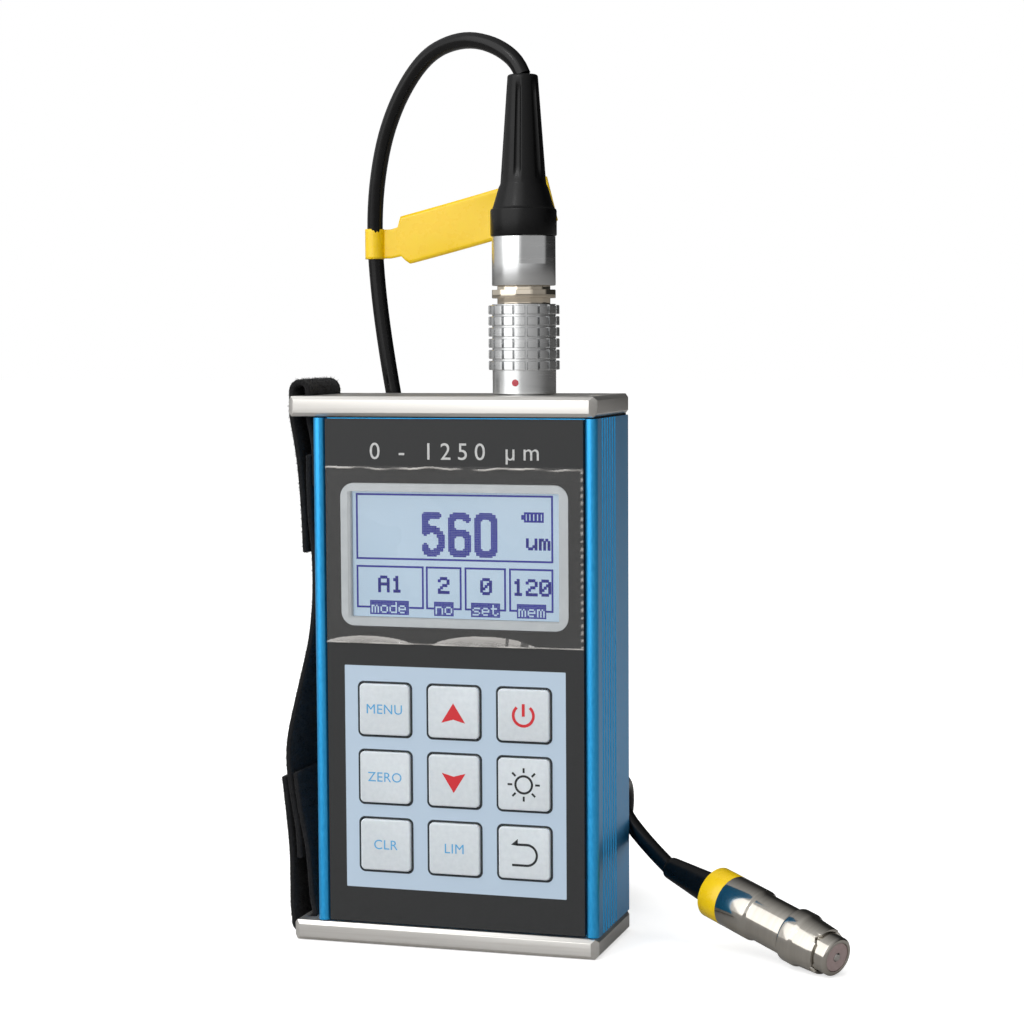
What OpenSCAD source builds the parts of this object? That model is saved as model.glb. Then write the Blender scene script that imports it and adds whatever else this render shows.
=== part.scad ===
// Coating thickness gauge: a hand-held case with a display, a keypad and a
// plug-in probe on a lead. All sizes are in millimetres.
// x runs to the right, y to the back and z up; z = 0 is the underside of the
// bottom plate and x = 0 is the middle of the extruded body.

/* [Case] */
// Overall height over both end plates
case_h = 120; // [118:1:140]
// Width of the extruded body
body_w = 64; // [62:0.5:80]
// Depth of the extruded body, over the front rails
body_d = 28.4; // [28:0.2:36]
// Wall thickness of the extrusion
body_wall = 1.8; // [1.4:0.1:2.2]
// Thickness of the front wall behind the panel
front_wall = 1.6; // [1.2:0.1:2]
// Width of each rounded front rail
rail_w = 2.8; // [2.2:0.1:3]
// Thickness of each end plate
plate_t = 4.4; // [3.8:0.1:6]
// Distance that the end plates stand past the body, front and back
plate_lip = 0.5; // [0.3:0.1:1]
// Length of the end plates past the body on the strap side
plate_overhang = 5.6; // [5.2:0.1:8]
// Cut of the end plates' upright corners
plate_corner = 1.5; // [0.5:0.1:2]
// Chamfer of the end plates' long edges
plate_edge = 0.8; // [0.3:0.1:1.2]
// Thickness of each end gasket
gasket_t = 0.3; // [0.2:0.05:0.6]

/* [Side ribs] */
// Number of grooves down each side
groove_n = 6; // [2:1:7]
// Distance between grooves
groove_pitch = 2.1; // [1.5:0.1:2.4]
// Radius of each groove
groove_r = 0.55; // [0.3:0.05:0.7]
// Distance of the first groove behind the body's front
groove_start = 4.9; // [4:0.1:6]

/* [Plate screws] */
// Outer radius of the screw channels
boss_r = 2.2; // [2:0.1:2.6]
// Radius of a plate screw's shank
screw_r = 1; // [0.8:0.05:1.2]
// Length of a plate screw below its head
screw_l = 10; // [8:0.5:14]
// Radius of a plate screw's head
screw_head_r = 1.9; // [1.7:0.1:2.3]
// Distance of the front screws behind the body's front
screw_front = 10; // [9.8:0.1:10.6]
// Depth that the screw channels are merged into the walls
boss_sink = 0.5; // [0.3:0.1:0.8]

/* [Front panel] */
// Thickness of the printed overlay
overlay_t = 0.4; // [0.2:0.05:0.5]
// Thickness of the backing panel
panel_t = 1.2; // [1:0.05:1.3]
// Depth of the overlay below the front rails
overlay_set = 0.3; // [0.2:0.05:0.5]
// Thickness of the clear protective film
film_t = 0.12; // [0.08:0.01:0.2]
// Height of the clear protective film
film_h = 38.6; // [36:0.2:42]

/* [Display] */
// Width of the display window
window_w = 51.2; // [46:0.2:52]
// Height of the display window
window_h = 31; // [27:0.2:32]
// Corner radius of the display window
window_r = 3; // [1:0.1:5]
// Distance of the window's centre below the top of the case
window_drop = 34.3; // [33.6:0.1:35]
// Width of the part of the display that shows
view_w = 47.3; // [40:0.1:48]
// Height of the part of the display that shows
view_h = 27.3; // [23:0.1:28]
// Thickness of the display glass
lcd_t = 2; // [1.6:0.1:2.2]
// Thickness of the backlight
backlight_t = 1; // [0.6:0.1:1.1]
// Sheet thickness of the display frame
lcd_sheet = 0.5; // [0.3:0.05:0.6]

/* [Keys] */
// Width of a key
key_w = 11.5; // [10:0.1:12.6]
// Height of a key
key_h = 11.2; // [10:0.1:12.6]
// Corner radius of a key
key_r = 1; // [0.5:0.1:2]
// Distance between key columns
key_pitch_x = 15.75; // [15.4:0.05:16]
// Distance between key rows
key_pitch_z = 14.9; // [14.6:0.05:15.1]
// Height of the bottom row's centre
key_low = 22.2; // [21:0.1:22.6]
// Distance that a key stands proud of the overlay
key_proud = 0.6; // [0.4:0.05:0.7]
// Travel of a key
key_travel = 0.5; // [0.3:0.05:0.6]
// Gap around a key
key_gap = 0.25; // [0.15:0.05:0.4]
// Width of the flange that holds a key behind the panel
key_flange = 0.7; // [0.5:0.05:0.8]

/* [Board and battery] */
// Thickness of the circuit board
board_t = 1.6; // [1:0.1:1.8]
// Distance of the board behind the front wall
board_stand = 2.3; // [2.2:0.1:2.6]
// Radius of a battery cell
cell_r = 7.1; // [6.8:0.05:7.2]
// Length of a battery cell's can
cell_l = 49.2; // [46:0.2:50]
// Height of the battery holder above the underside
holder_z = 20; // [16:0.5:24]
// Wall of the battery holder
holder_wall = 1.4; // [1:0.1:1.6]
// Thickness of the battery contacts
contact_t = 0.8; // [0.5:0.1:1]

/* [Probe socket and plug] */
// Distance of the socket to the right of the case's middle
plug_x = 12.1; // [8:0.1:14]
// Outer radius of the socket's thread
socket_r = 4.5; // [4.4:0.05:5]
// Radius of the plug's front tube
nose_r = 3.65; // [3.4:0.05:3.75]
// Outer radius of the plug's plain collar
collar_r = 6.9; // [6.7:0.05:7.2]
// Height of the plug's plain collar
collar_h = 5; // [4:0.1:6]
// Outer radius of the knurled grip
knurl_r = 7.7; // [7.4:0.05:8.2]
// Length of the knurled grip
knurl_l = 14.4; // [12:0.1:17]
// Rows of blocks on the grip
knurl_rows = 6; // [3:1:8]
// Blocks around the grip
knurl_n = 18; // [12:1:24]
// Width of the grooves between the blocks
knurl_gap = 0.45; // [0.3:0.05:0.6]
// Sliding travel of the release sleeve
sleeve_travel = 1; // [0.6:0.1:1.1]
// Height of the plug's many-sided ring
ring_h = 1.8; // [1.4:0.1:2.4]
// Number of sides of the plug's ring
ring_sides = 12; // [8:1:16]
// Radius over the corners of the plug's ring
ring_r = 7.1; // [6.8:0.05:7.6]
// Length of the collet nut
collet_l = 10.6; // [9:0.1:13]
// Distance of the collet nut's wrench flats from its axis
flat_reach = 6.3; // [6.1:0.05:6.6]
// Height of the boot's plain collar
boot_collar_h = 6; // [5:0.1:7]
// Radius of the boot's plain collar
boot_collar_r = 7.2; // [7:0.05:7.6]
// Height of the boot's cone
boot_cone_h = 5.4; // [4:0.1:7]
// Radius at the foot of the boot's tail
boot_foot_r = 4.95; // [4.5:0.05:5.5]
// Length of the boot's tail
boot_tail_l = 23.2; // [18:0.1:26]
// Radius at the end of the boot's tail
boot_end_r = 3.3; // [2.8:0.05:3.6]

/* [Lead] */
// Diameter of the lead
lead_d = 3.6; // [3.2:0.1:3.6]
// Mean diameter of the coiled lead
coil_d = 38; // [36:0.5:43]
// Rows of turns in the coil
coil_rows = 4; // [3:1:4]
// Columns of turns in the coil
coil_columns = 2; // [1:1:2]
// Thickness of the coil's tie
tie_t = 0.8; // [0.6:0.05:1]
// Width of the coil's tie
tie_w = 6; // [4:0.2:8]
// Height of the flag label
flag_h = 11; // [9:0.1:13]
// Length of the flag label past its neck
flag_l = 37; // [30:0.5:40]
// Height of the flag label's neck
flag_neck_h = 6.8; // [5:0.1:8]
// Thickness of the flag label
flag_t = 0.3; // [0.2:0.05:0.4]
// Upward slant of the flag label
flag_slant = 14.3; // [5:0.1:20]

/* [Probe] */
// Turn of the probe to the front, from the x axis
probe_turn = 32; // [28:0.5:36]
// Downward tilt of the probe's nose
probe_tilt = 12.5; // [12:0.1:14]
// Radius of the sprung nose
probe_nose_r = 4.25; // [4:0.05:4.3]
// Travel of the sprung nose
nose_travel = 2.2; // [1:0.1:2.4]
// Length of the nose that stays out of the cap when it is pressed
nose_left = 0.8; // [0.4:0.1:1.4]
// Length of the front cap
cap_l = 9.4; // [9:0.1:11]
// Radius of the cap's rim
cap_rim_r = 5; // [4.9:0.05:5.2]
// Radius of the cap's shoulder ring
cap_r = 5.9; // [5.7:0.05:6.1]
// Depth of the cap's notches
notch_depth = 1.2; // [0.6:0.1:1.6]
// Length of the probe's waist
waist_l = 10; // [8:0.1:14]
// Radius of the probe's waist
waist_r = 5.2; // [5.15:0.05:5.4]
// Length of the probe's rear collar
rear_l = 8; // [6:0.1:10]
// Radius of the probe's rear collar
rear_r = 5.7; // [5.5:0.05:5.9]
// Width of the marking band
band_w = 5.2; // [4:0.1:7]
// Thickness of the marking band
band_t = 0.25; // [0.15:0.05:0.3]
// Length of the probe's boot
probe_boot_l = 14.5; // [12:0.1:18]
// Radius of the probe's boot at the housing
probe_boot_r = 3.7; // [3.4:0.05:4.4]

/* [Hand strap] */
// Width of the strap
strap_w = 19; // [15:0.5:20]
// Thickness of the strap webbing
strap_t = 1.2; // [0.8:0.05:1.2]
// Distance of the strap slots from the plates' left ends
slot_edge = 2; // [1.8:0.1:2.4]
// Width of the strap slots
slot_w = 1.8; // [1.7:0.05:2.2]

/* [Hidden] */
$fn = 48;

// Clearances
fit = 0.1;
run_fit = 0.06;
slide_fit = 0.08;
thread_fit = 0.05;

// Heights of the case
body_z0 = plate_t + gasket_t;
body_z1 = case_h - plate_t - gasket_t;
plate_w = body_w + plate_overhang;
plate_d = body_d + 2 * plate_lip;
plate_x = -plate_overhang / 2;
plate_left = -body_w / 2 - plate_overhang;

// Depths behind the front, from the rails to the back wall
rail_y = -body_d / 2;
overlay_y = rail_y + overlay_set;
panel_y = overlay_y + overlay_t;
wall_y = panel_y + panel_t;
cavity_y = wall_y + front_wall;
back_y = body_d / 2 - body_wall;
board_y = cavity_y + board_stand;
board_back = board_y + board_t;

// Widths of the front
recess_w = body_w - 2 * rail_w;
panel_w = recess_w - 4 * fit;
panel_h = body_z1 - body_z0 - 4 * fit;
panel_z = (body_z0 + body_z1) / 2;
cavity_w = body_w - 2 * body_wall;
board_w = cavity_w - 3;
board_h = panel_h - 8;

// Display
window_z = case_h - window_drop;
lcd_frame_w = window_w + 0.4;
lcd_frame_h = window_h + 3.6;
lcd_open_gap = 0.2;
lcd_front = wall_y + fit;
glass_y = lcd_front + lcd_sheet + thread_fit;

// Keys: columns from left to right, rows from bottom to top
function key_x(column) = (column - 1) * key_pitch_x;
function key_z(row) = key_low + row * key_pitch_z;
key_front = overlay_y - key_proud;
flange_y = wall_y + fit;
flange_t = 0.7;
switch_t = 0.9;
switch_r = 3;
stem_r = 2;
stem_end = board_y - switch_t - key_travel - fit;
keypad_margin = key_flange + 1.5;
keypad_w = 2 * key_pitch_x + key_w + 2 * keypad_margin;
keypad_h = 2 * key_pitch_z + key_h + 2 * keypad_margin;
keypad_z = key_z(1);

// Plate screws and their channels
boss_x = cavity_w / 2 - boss_r + boss_sink;
boss_back = back_y - boss_r + boss_sink;
boss_places = [for (sx = [-1, 1], y = [rail_y + screw_front, boss_back]) [sx * boss_x, y]];
screw_head_h = screw_head_r - screw_r;

// Board standoffs, in the bars of the front wall that the two openings leave
post_r = 1.9;
post_x = 21;
bar_z = (keypad_z + keypad_h / 2 + window_z - lcd_frame_h / 2) / 2;
post_low = (panel_z - board_h / 2 + keypad_z - keypad_h / 2) / 2;
post_high = (panel_z + board_h / 2 + window_z + lcd_frame_h / 2) / 2;

// Chips and buzzer on the back of the board
chip_t = 1.5;
chip_w = 10;
chip_x = 8;
chip_rise = 4;
small_chip_w = 6;
small_chip_h = 8;
buzzer_r = 5;
buzzer_h = 4.5;
buzzer_hole_r = 0.8;
buzzer_x = 15;
buzzer_rise = 17;

// Battery
cell_nub_r = 2.7;
cell_nub_h = 1.3;
cell_gap = 0.3;
holder_in_l = cell_l + cell_nub_h + 2 * contact_t + 2 * fit;
holder_in_w = 4 * cell_r + 3 * cell_gap;
holder_side_h = 10;
cell_y = board_back + holder_wall + cell_gap + cell_r;
cell_z = holder_z + holder_wall + contact_t + fit;
contact_w = 9;
// Places of the two cells: side, and whether the cell is turned over
cell_places = [[-1, 0], [1, 1]];

// Socket and plug, measured up from the top of the case
socket_flange_r = 6.4;
socket_flange_t = 1.2;
socket_l = 15;
socket_bore = nose_r + slide_fit;
socket_nut_t = 2;
nose_deep = 10;
socket_floor = case_h - nose_deep - 0.5;
nose_wall = 0.75;
pin_r = 0.3;
pin_n = 5;
pin_ring = 1.6;
lift = 0.2;
plug_core_r = 5.4;
core_bore = nose_r - nose_wall;
sleeve_bore = plug_core_r + run_fit;
knurl_z = case_h + lift + collar_h;
sleeve_top = knurl_z + knurl_l;
neck_r = 5.9;
neck_h = sleeve_travel + 0.3;
sleeve_cup_r = neck_r + 0.3;
ring_z = sleeve_top + neck_h;
collet_z = ring_z + ring_h + neck_h - 0.4;
boot_z = collet_z + collet_l;
tail_z = boot_z + boot_collar_h + boot_cone_h;
boot_top = tail_z + boot_tail_l;
thread_r = 4.6;
flat_turn = 35;
flat_h = 6;
dot_r = 0.75;
dot_t = 0.5;
dot_z = case_h + lift + collar_h / 2;

// Lead: route points from the plug's boot over the top and down to the coil
lead_r = lead_d / 2;
upper_route = [
    [12.1, 0, 188.8], [11, 0.3, 191.3], [8.6, 0.9, 193.6], [4.6, 2.2, 195.9],
    [-1.4, 4.8, 197.6], [-7.6, 7.6, 197], [-12.4, 9.8, 195.2], [-16.4, 11.4, 191.8],
    [-20, 12.8, 187.2], [-22.8, 14, 182.4], [-25.6, 15.4, 176], [-28, 17, 166],
    [-28.9, 18.3, 156], [-28.6, 19, 145.8], [-27.5, 19.5, 134.4], [-25.4, 20, 120.2],
    [-23.6, 20.6, 110], [-21.8, 21.2, 100], [-20.4, 21.8, 90], [-19.2, 22.4, 80],
    [-18.2, 23, 70], [-17.4, 23.6, 60], [-16.8, 24.3, 50], [-16.2, 25, 40],
    [-15.8, 26.2, 31], [-15.4, 28.6, 23.4], [-15.2, 33, 17.4], [-15.2, 39.6, 13.4]];
// Lead: route points from the coil to the probe's boot
lower_route = [
    [22.8, 40, 13.4], [23.2, 36, 14.2], [24.6, 33.4, 17.2], [26, 32.8, 21], [26.7, 32.2, 25],
    [27, 30, 29.2], [27.3, 26, 31.4], [27.6, 21.8, 30.2], [28.5, 18.8, 27.2], [30.6, 17.3, 24.2],
    [33.8, 16, 21], [37.6, 14.1, 17.8], [41.6, 11.9, 15]];
lead_sides = 8;

// Coil on the floor behind the case
coil_x = 2;
coil_y = 39.6;
coil_z = tie_t;
coil_h = coil_rows * lead_d;
coil_section_w = coil_columns * lead_d;
coil_round = 1.6;
tie_sag = 0.35;

// Flag label around the lead's left leg
flag_place = [-28.9, 18.5, 153.8];
wrap_r = lead_r + fit;
flag_flare = 3;
flag_neck_l = 5;

// Probe, measured back from the face of its nose
probe_tip_place = [83.1, -14, 4.2];
cap_z = -nose_travel - nose_left;
joint_z = cap_z - cap_l;
cap_ring_l = 3.2;
cap_slope = 0.9;
rear_z = joint_z - waist_l;
shoulder = 0.6;
band_z = rear_z - rear_l;
probe_end = band_z - band_w;
band_r = rear_r - band_t;
spigot_l = 3;
spigot_r = waist_r - 0.1;
probe_bore = spigot_r - 0.42;
nose_flange_r = probe_bore - slide_fit;
nose_flange_t = 1.6;
nose_bore = probe_nose_r + slide_fit;
cap_step = joint_z + spigot_l + fit;
nose_stop = cap_step - fit;
nose_cup_r = 3.2;
nose_cup_l = 8.6;
nose_tail_r = 2.2;
nose_tail_l = 5;
spring_wire = 0.3;
spring_r = 3.4;
spring_turns = 6;
spring_steps = 14;
spring_z1 = nose_stop - nose_flange_t - fit;
spring_z0 = probe_end + 8.6;
face_r = nose_cup_r - fit;
face_t = 1.5;
tip_r = 0.95;
winding_r = 2.7;
winding_l = 5;

// Hand strap: slot places and paths in x and z of the webbing's middle line
slot_x0 = plate_left + slot_edge;
slot_x = slot_x0 + slot_w / 2;
slot_l = strap_w + 2;
relief_h = strap_t + 0.6;
strap_x = -body_w / 2;
tab_out = plate_left - 1;
arch_r = (slot_x - tab_out) / 2;
arch_z = case_h + 1;
fold_r = 1.8;
turn_r = 1.2;
fold_z = strap_t / 2 + 0.2;
top_tab_path = concat(
    smooth([
        [strap_x - 3.8, case_h - 34.6], [strap_x - 4.1, case_h - 26], [strap_x - 4.8, case_h - 16],
        [strap_x - 5.8, case_h - 9], [tab_out, case_h - plate_t], [tab_out, case_h - 0.5]]),
    arc([tab_out + arch_r, arch_z], arch_r, 180, 0),
    smooth([
        [slot_x, case_h - 0.5], [slot_x, case_h - plate_t], [slot_x + 0.5, case_h - 7],
        [strap_x - 1.4, case_h - 12], [strap_x - 1.2, case_h - 20]]));
bottom_tab_path = concat(
    smooth([
        [strap_x - 9.5, 35.3], [strap_x - 8.7, 28], [strap_x - 7.9, 19], [strap_x - 7.8, 11],
        [strap_x - 7.8, 6.4], [tab_out - 0.9, fold_z + fold_r + 1]]),
    arc([tab_out + fold_r - 0.9, fold_z + fold_r], fold_r, 180, 270),
    arc([slot_x - turn_r, fold_z + turn_r], turn_r, 270, 360),
    smooth([
        [slot_x, plate_t - 0.5], [slot_x + 0.1, plate_t + 1], [strap_x - 3.2, 9], [strap_x - 4, 19],
        [strap_x - 5.7, 28], [strap_x - 6.8, 36.2]]));
band_path = smooth([
    [strap_x - 2.75, case_h - 13], [strap_x - 2.75, case_h - 20], [strap_x - 2.5, case_h - 27],
    [strap_x - 1.75, case_h - 35], [strap_x - 1.7, case_h - 44], [strap_x - 2.6, 67], [strap_x - 4.2, 60],
    [strap_x - 6, 53], [strap_x - 7.9, 45], [strap_x - 8.4, 39.5], [strap_x - 8.1, 35],
    [strap_x - 7.4, 30], [strap_x - 6.4, 24], [strap_x - 5.95, 17]]);

// Rounded rectangle about the origin
module round_rect(w, h, r) {
    square([w - 2 * r, h], center = true);
    square([w, h - 2 * r], center = true);
    for (sx = [-1, 1], sy = [-1, 1])
        translate([sx * (w / 2 - r), sy * (h / 2 - r)])
            circle(r);
}

// Rectangle with cut corners about the origin
module cut_rect(w, h, c) {
    polygon([
        [c - w / 2, -h / 2], [w / 2 - c, -h / 2], [w / 2, c - h / 2], [w / 2, h / 2 - c],
        [w / 2 - c, h / 2], [c - w / 2, h / 2], [-w / 2, h / 2 - c], [-w / 2, c - h / 2]]);
}

// Extrudes a shape drawn in x and z from depth y0 to depth y1
module slab(y0, y1) {
    translate([0, y1, 0])
        rotate([90, 0, 0])
            linear_extrude(y1 - y0)
                children();
}

// Cylinder between two heights
module post(r, z0, z1) {
    translate([0, 0, z0])
        cylinder(r = r, h = z1 - z0);
}

// Cylinder along y between two depths
module peg(r, y0, y1) {
    translate([0, y0, 0])
        rotate([-90, 0, 0])
            cylinder(r = r, h = y1 - y0);
}

// Tube between two heights
module tube(r, bore, z0, z1) {
    difference() {
        post(r, z0, z1);
        post(bore, z0 - 1, z1 + 1);
    }
}

// Point on a smooth curve between p1 and p2, at t from 0 to 1
function curve_point(p0, p1, p2, p3, t) =
    0.5 * (2 * p1 + (p2 - p0) * t + (2 * p0 - 5 * p1 + 4 * p2 - p3) * t * t
        + (3 * p1 - p0 - 3 * p2 + p3) * t * t * t);

// Smooth curve through all points of a path
function smooth(path, steps = 3) = let (n = len(path)) [
    for (i = [0 : n - 2], k = [0 : steps - 1])
        curve_point(path[max(i - 1, 0)], path[i], path[i + 1], path[min(i + 2, n - 1)], k / steps),
    path[n - 1]];

// Points on an arc between two angles
function arc(centre, r, from, to, steps = 8) = [
    for (k = [0 : steps])
        let (turn = from + (to - from) * k / steps)
            centre + r * [cos(turn), sin(turn)]];

function unit(v) = v / norm(v);
function heading(path, i) = unit(path[min(i + 1, len(path) - 1)] - path[max(i - 1, 0)]);

// Outline of webbing of thickness t along a middle line
function webbing(path, t) = let (n = len(path)) concat(
    [for (i = [0 : n - 1]) let (d = heading(path, i)) path[i] + t / 2 * [-d[1], d[0]]],
    [for (i = [n - 1 : -1 : 0]) let (d = heading(path, i)) path[i] - t / 2 * [-d[1], d[0]]]);

// Length of webbing across the case, from its path in x and z
module strap(path) {
    slab(-strap_w / 2, strap_w / 2)
        polygon(webbing(path, strap_t));
}

// Part of v that is square to the heading d
function squared(v, d) = unit(v - (v * d) * d);

// Directions across a route, carried along it without twist
function across(route) = [
    for (i = 0, a = squared([0.3, 1, 0.2], heading(route, 0)); i < len(route);
            i = i + 1, a = squared(a, heading(route, min(i, len(route) - 1))))
        a];

// Round tube swept along a route's points
module swept(route, r, sides) {
    n = len(route);
    side = across(route);
    points = [
        for (i = [0 : n - 1], k = [0 : sides - 1])
            let (rise = cross(heading(route, i), side[i]), turn = 360 * k / sides)
                route[i] + r * (cos(turn) * side[i] + sin(turn) * rise)];
    walls = [
        for (i = [0 : n - 2], k = [0 : sides - 1], half = [0, 1])
            let (low = i * sides, high = low + sides, m = (k + 1) % sides)
                half == 0 ? [low + k, high + k, high + m] : [low + k, high + m, low + m]];
    ends = [[for (k = [0 : sides - 1]) k], [for (k = [sides - 1 : -1 : 0]) (n - 1) * sides + k]];
    polyhedron(points, concat(walls, ends), convexity = 10);
}

// Extruded body, seen from above
module body_outline() {
    rail_r = rail_w / 2;
    back_r = 1.3;
    shift = (rail_y + rail_r + body_d / 2 - back_r) / 2;
    translate([0, shift])
        square([body_w, body_d - rail_r - back_r], center = true);
    translate([0, shift + back_r / 2])
        square([body_w - 2 * back_r, body_d - rail_r], center = true);
    for (sx = [-1, 1]) {
        translate([sx * (body_w / 2 - rail_r), rail_y + rail_r])
            circle(rail_r);
        translate([sx * (body_w / 2 - back_r), body_d / 2 - back_r])
            circle(back_r);
    }
}

// Hollow of the body, less the screw channels
module body_hollow() {
    difference() {
        translate([-cavity_w / 2, cavity_y])
            square([cavity_w, back_y - cavity_y]);
        for (place = boss_places)
            translate(place)
                circle(boss_r);
    }
}

module screw_holes(r) {
    for (place = boss_places)
        translate(place)
            circle(r);
}

module body_section() {
    difference() {
        body_outline();
        translate([-recess_w / 2, rail_y - 1])
            square([recess_w, wall_y - rail_y + 1]);
        body_hollow();
        screw_holes(screw_r + thread_fit);
        for (sx = [-1, 1], k = [0 : groove_n - 1])
            translate([sx * (body_w / 2 + 0.05), rail_y + groove_start + k * groove_pitch])
                circle(groove_r);
    }
}

module body_shell() {
    color("#1f6fc0")
    difference() {
        translate([0, 0, body_z0])
            linear_extrude(body_z1 - body_z0)
                body_section();
        translate([0, 0, window_z])
            slab(wall_y - 1, cavity_y + 1)
                square([lcd_frame_w + 2 * lcd_open_gap, lcd_frame_h + 2 * lcd_open_gap], center = true);
        translate([0, 0, keypad_z])
            slab(wall_y - 1, cavity_y + 1)
                square([keypad_w, keypad_h], center = true);
    }
}

// Chamfered plate standing on z = 0
module plate_blank() {
    translate([plate_x, 0, 0])
    intersection() {
        linear_extrude(plate_t)
            cut_rect(plate_w, plate_d, plate_corner);
        translate([0, 0, plate_t / 2])
            rotate([90, 0, 0])
                linear_extrude(plate_d + 1, center = true)
                    cut_rect(plate_w, plate_t, plate_edge);
        translate([0, 0, plate_t / 2])
            rotate([90, 0, 90])
                linear_extrude(plate_w + 1, center = true)
                    cut_rect(plate_d, plate_t, plate_edge);
    }
}

// Countersunk screw, head up at z = 0
module plate_screw(r, head_r) {
    post(r, -screw_l, 0);
    translate([0, 0, -screw_head_h])
        cylinder(r1 = head_r - screw_head_h, r2 = head_r, h = screw_head_h);
}

// Holes that both end plates have, with the outer face at z = 0
module plate_cuts() {
    for (place = boss_places)
        translate(place) {
            plate_screw(screw_r + fit, screw_head_r + fit);
            post(screw_head_r + fit, 0, 1);
        }
    translate([slot_x0, -slot_l / 2, -plate_t - 1])
        cube([slot_w, slot_l, plate_t + 2]);
}

module top_plate() {
    color("#c9cac8")
    difference() {
        translate([0, 0, case_h - plate_t])
            plate_blank();
        translate([0, 0, case_h])
            plate_cuts();
        translate([plug_x, 0, 0]) {
            post(socket_r + fit, case_h - plate_t - 1, case_h + 1);
            post(socket_flange_r + fit, case_h - socket_flange_t, case_h + 1);
        }
    }
}

module bottom_plate() {
    color("#c9cac8")
    difference() {
        plate_blank();
        mirror([0, 0, 1])
            plate_cuts();
        translate([plate_left - 1, -slot_l / 2, -1])
            cube([1 + slot_edge + slot_w / 2, slot_l, relief_h + 1]);
    }
}

module gasket(z) {
    inset = 0.6;
    translate([0, 0, z])
        linear_extrude(gasket_t)
            difference() {
                translate([inset - body_w / 2, wall_y + inset])
                    square([body_w - 2 * inset, body_d / 2 - wall_y - 2 * inset]);
                body_hollow();
                screw_holes(screw_r + fit);
            }
}

module top_gasket() {
    color("#1c1d1f")
        gasket(body_z1);
}

module bottom_gasket() {
    color("#1c1d1f")
        gasket(plate_t);
}

module screw_set() {
    drive_r = 0.9;
    for (place = boss_places)
        translate(place)
            difference() {
                plate_screw(screw_r, screw_head_r);
                translate([0, 0, -screw_head_h])
                    cylinder(r = drive_r, h = 2, $fn = 6);
            }
}

module top_plate_screws() {
    color("#b8b9bb")
        translate([0, 0, case_h - fit])
            screw_set();
}

module bottom_plate_screws() {
    color("#b8b9bb")
        translate([0, 0, fit])
            mirror([0, 0, 1])
                screw_set();
}

// Outline of the panel and overlay with their openings
module panel_outline() {
    difference() {
        translate([0, panel_z])
            square([panel_w, panel_h], center = true);
        translate([0, window_z])
            round_rect(window_w + 2 * fit, window_h + 2 * fit, window_r + fit);
        for (column = [0 : 2], row = [0 : 2])
            translate([key_x(column), key_z(row)])
                round_rect(key_w + 2 * key_gap, key_h + 2 * key_gap, key_r + key_gap);
    }
}

module front_panel() {
    color("#5d6166")
        slab(panel_y, wall_y)
            panel_outline();
}

module front_overlay() {
    color("#2c2f33")
        slab(overlay_y, panel_y)
            panel_outline();
}

module screen_film() {
    color("#d5e2ea", 0.4)
        translate([0, 0, window_z])
            slab(overlay_y - film_t, overlay_y)
                square([panel_w, film_h], center = true);
}

module display_window() {
    color("#cfd6db", 0.5)
        translate([0, 0, window_z])
            slab(overlay_y, wall_y)
                round_rect(window_w, window_h, window_r);
}

module lcd_frame() {
    color("#3a3d41")
    translate([0, 0, window_z])
        difference() {
            slab(lcd_front, board_y)
                square([lcd_frame_w, lcd_frame_h], center = true);
            slab(lcd_front + lcd_sheet, board_y + 1)
                square([lcd_frame_w - 2 * lcd_sheet, lcd_frame_h - 2 * lcd_sheet], center = true);
            slab(lcd_front - 1, board_y)
                square([view_w, view_h], center = true);
        }
}

// Flat layer that fits inside the display frame
module display_layer(y0, y1) {
    margin = 2 * lcd_sheet + 2 * fit;
    translate([0, 0, window_z])
        slab(y0, y1)
            square([lcd_frame_w - margin, lcd_frame_h - margin], center = true);
}

module lcd_panel() {
    color("#c9d6ea")
        display_layer(glass_y, glass_y + lcd_t);
}

module backlight_panel() {
    color("#f2f4f6")
        display_layer(board_y - backlight_t, board_y);
}

// One key, with its flange behind the panel and its stem above a switch
module push_key(column, row) {
    color("#dde2e6")
    translate([key_x(column), 0, key_z(row)]) {
        slab(key_front, flange_y + flange_t / 2)
            round_rect(key_w, key_h, key_r);
        slab(flange_y, flange_y + flange_t)
            round_rect(key_w + 2 * key_flange, key_h + 2 * key_flange, key_r + key_flange);
        peg(stem_r, flange_y + flange_t / 2, stem_end);
    }
}

module key_menu() { push_key(0, 2); }
module key_up() { push_key(1, 2); }
module key_power() { push_key(2, 2); }
module key_zero() { push_key(0, 1); }
module key_down() { push_key(1, 1); }
module key_light() { push_key(2, 1); }
module key_clear() { push_key(0, 0); }
module key_limit() { push_key(1, 0); }
module key_return() { push_key(2, 0); }

module key_switches() {
    color("#c8a860")
        for (column = [0 : 2], row = [0 : 2])
            translate([key_x(column), 0, key_z(row)])
                peg(switch_r, board_y - switch_t, board_y);
}

module main_board() {
    color("#1e5a34")
        translate([0, 0, panel_z])
            slab(board_y, board_back)
                square([board_w, board_h], center = true);
}

module board_posts() {
    color("#b9b2a0")
        for (sx = [-1, 1], z = [post_low, bar_z, post_high])
            translate([sx * post_x, 0, z])
                peg(post_r, cavity_y, board_y);
}

// Chip of a given width and height on the back of the board
module chip(x, z, w, h) {
    translate([x, 0, z])
        slab(board_back, board_back + chip_t)
            square([w, h], center = true);
}

module board_chips() {
    color("#242528") {
        chip(chip_x, window_z + chip_rise, chip_w, chip_w);
        chip(-chip_x, window_z + chip_rise, small_chip_w, small_chip_h);
        chip(0, holder_z - small_chip_w, small_chip_h, small_chip_w - holder_wall);
    }
}

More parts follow.
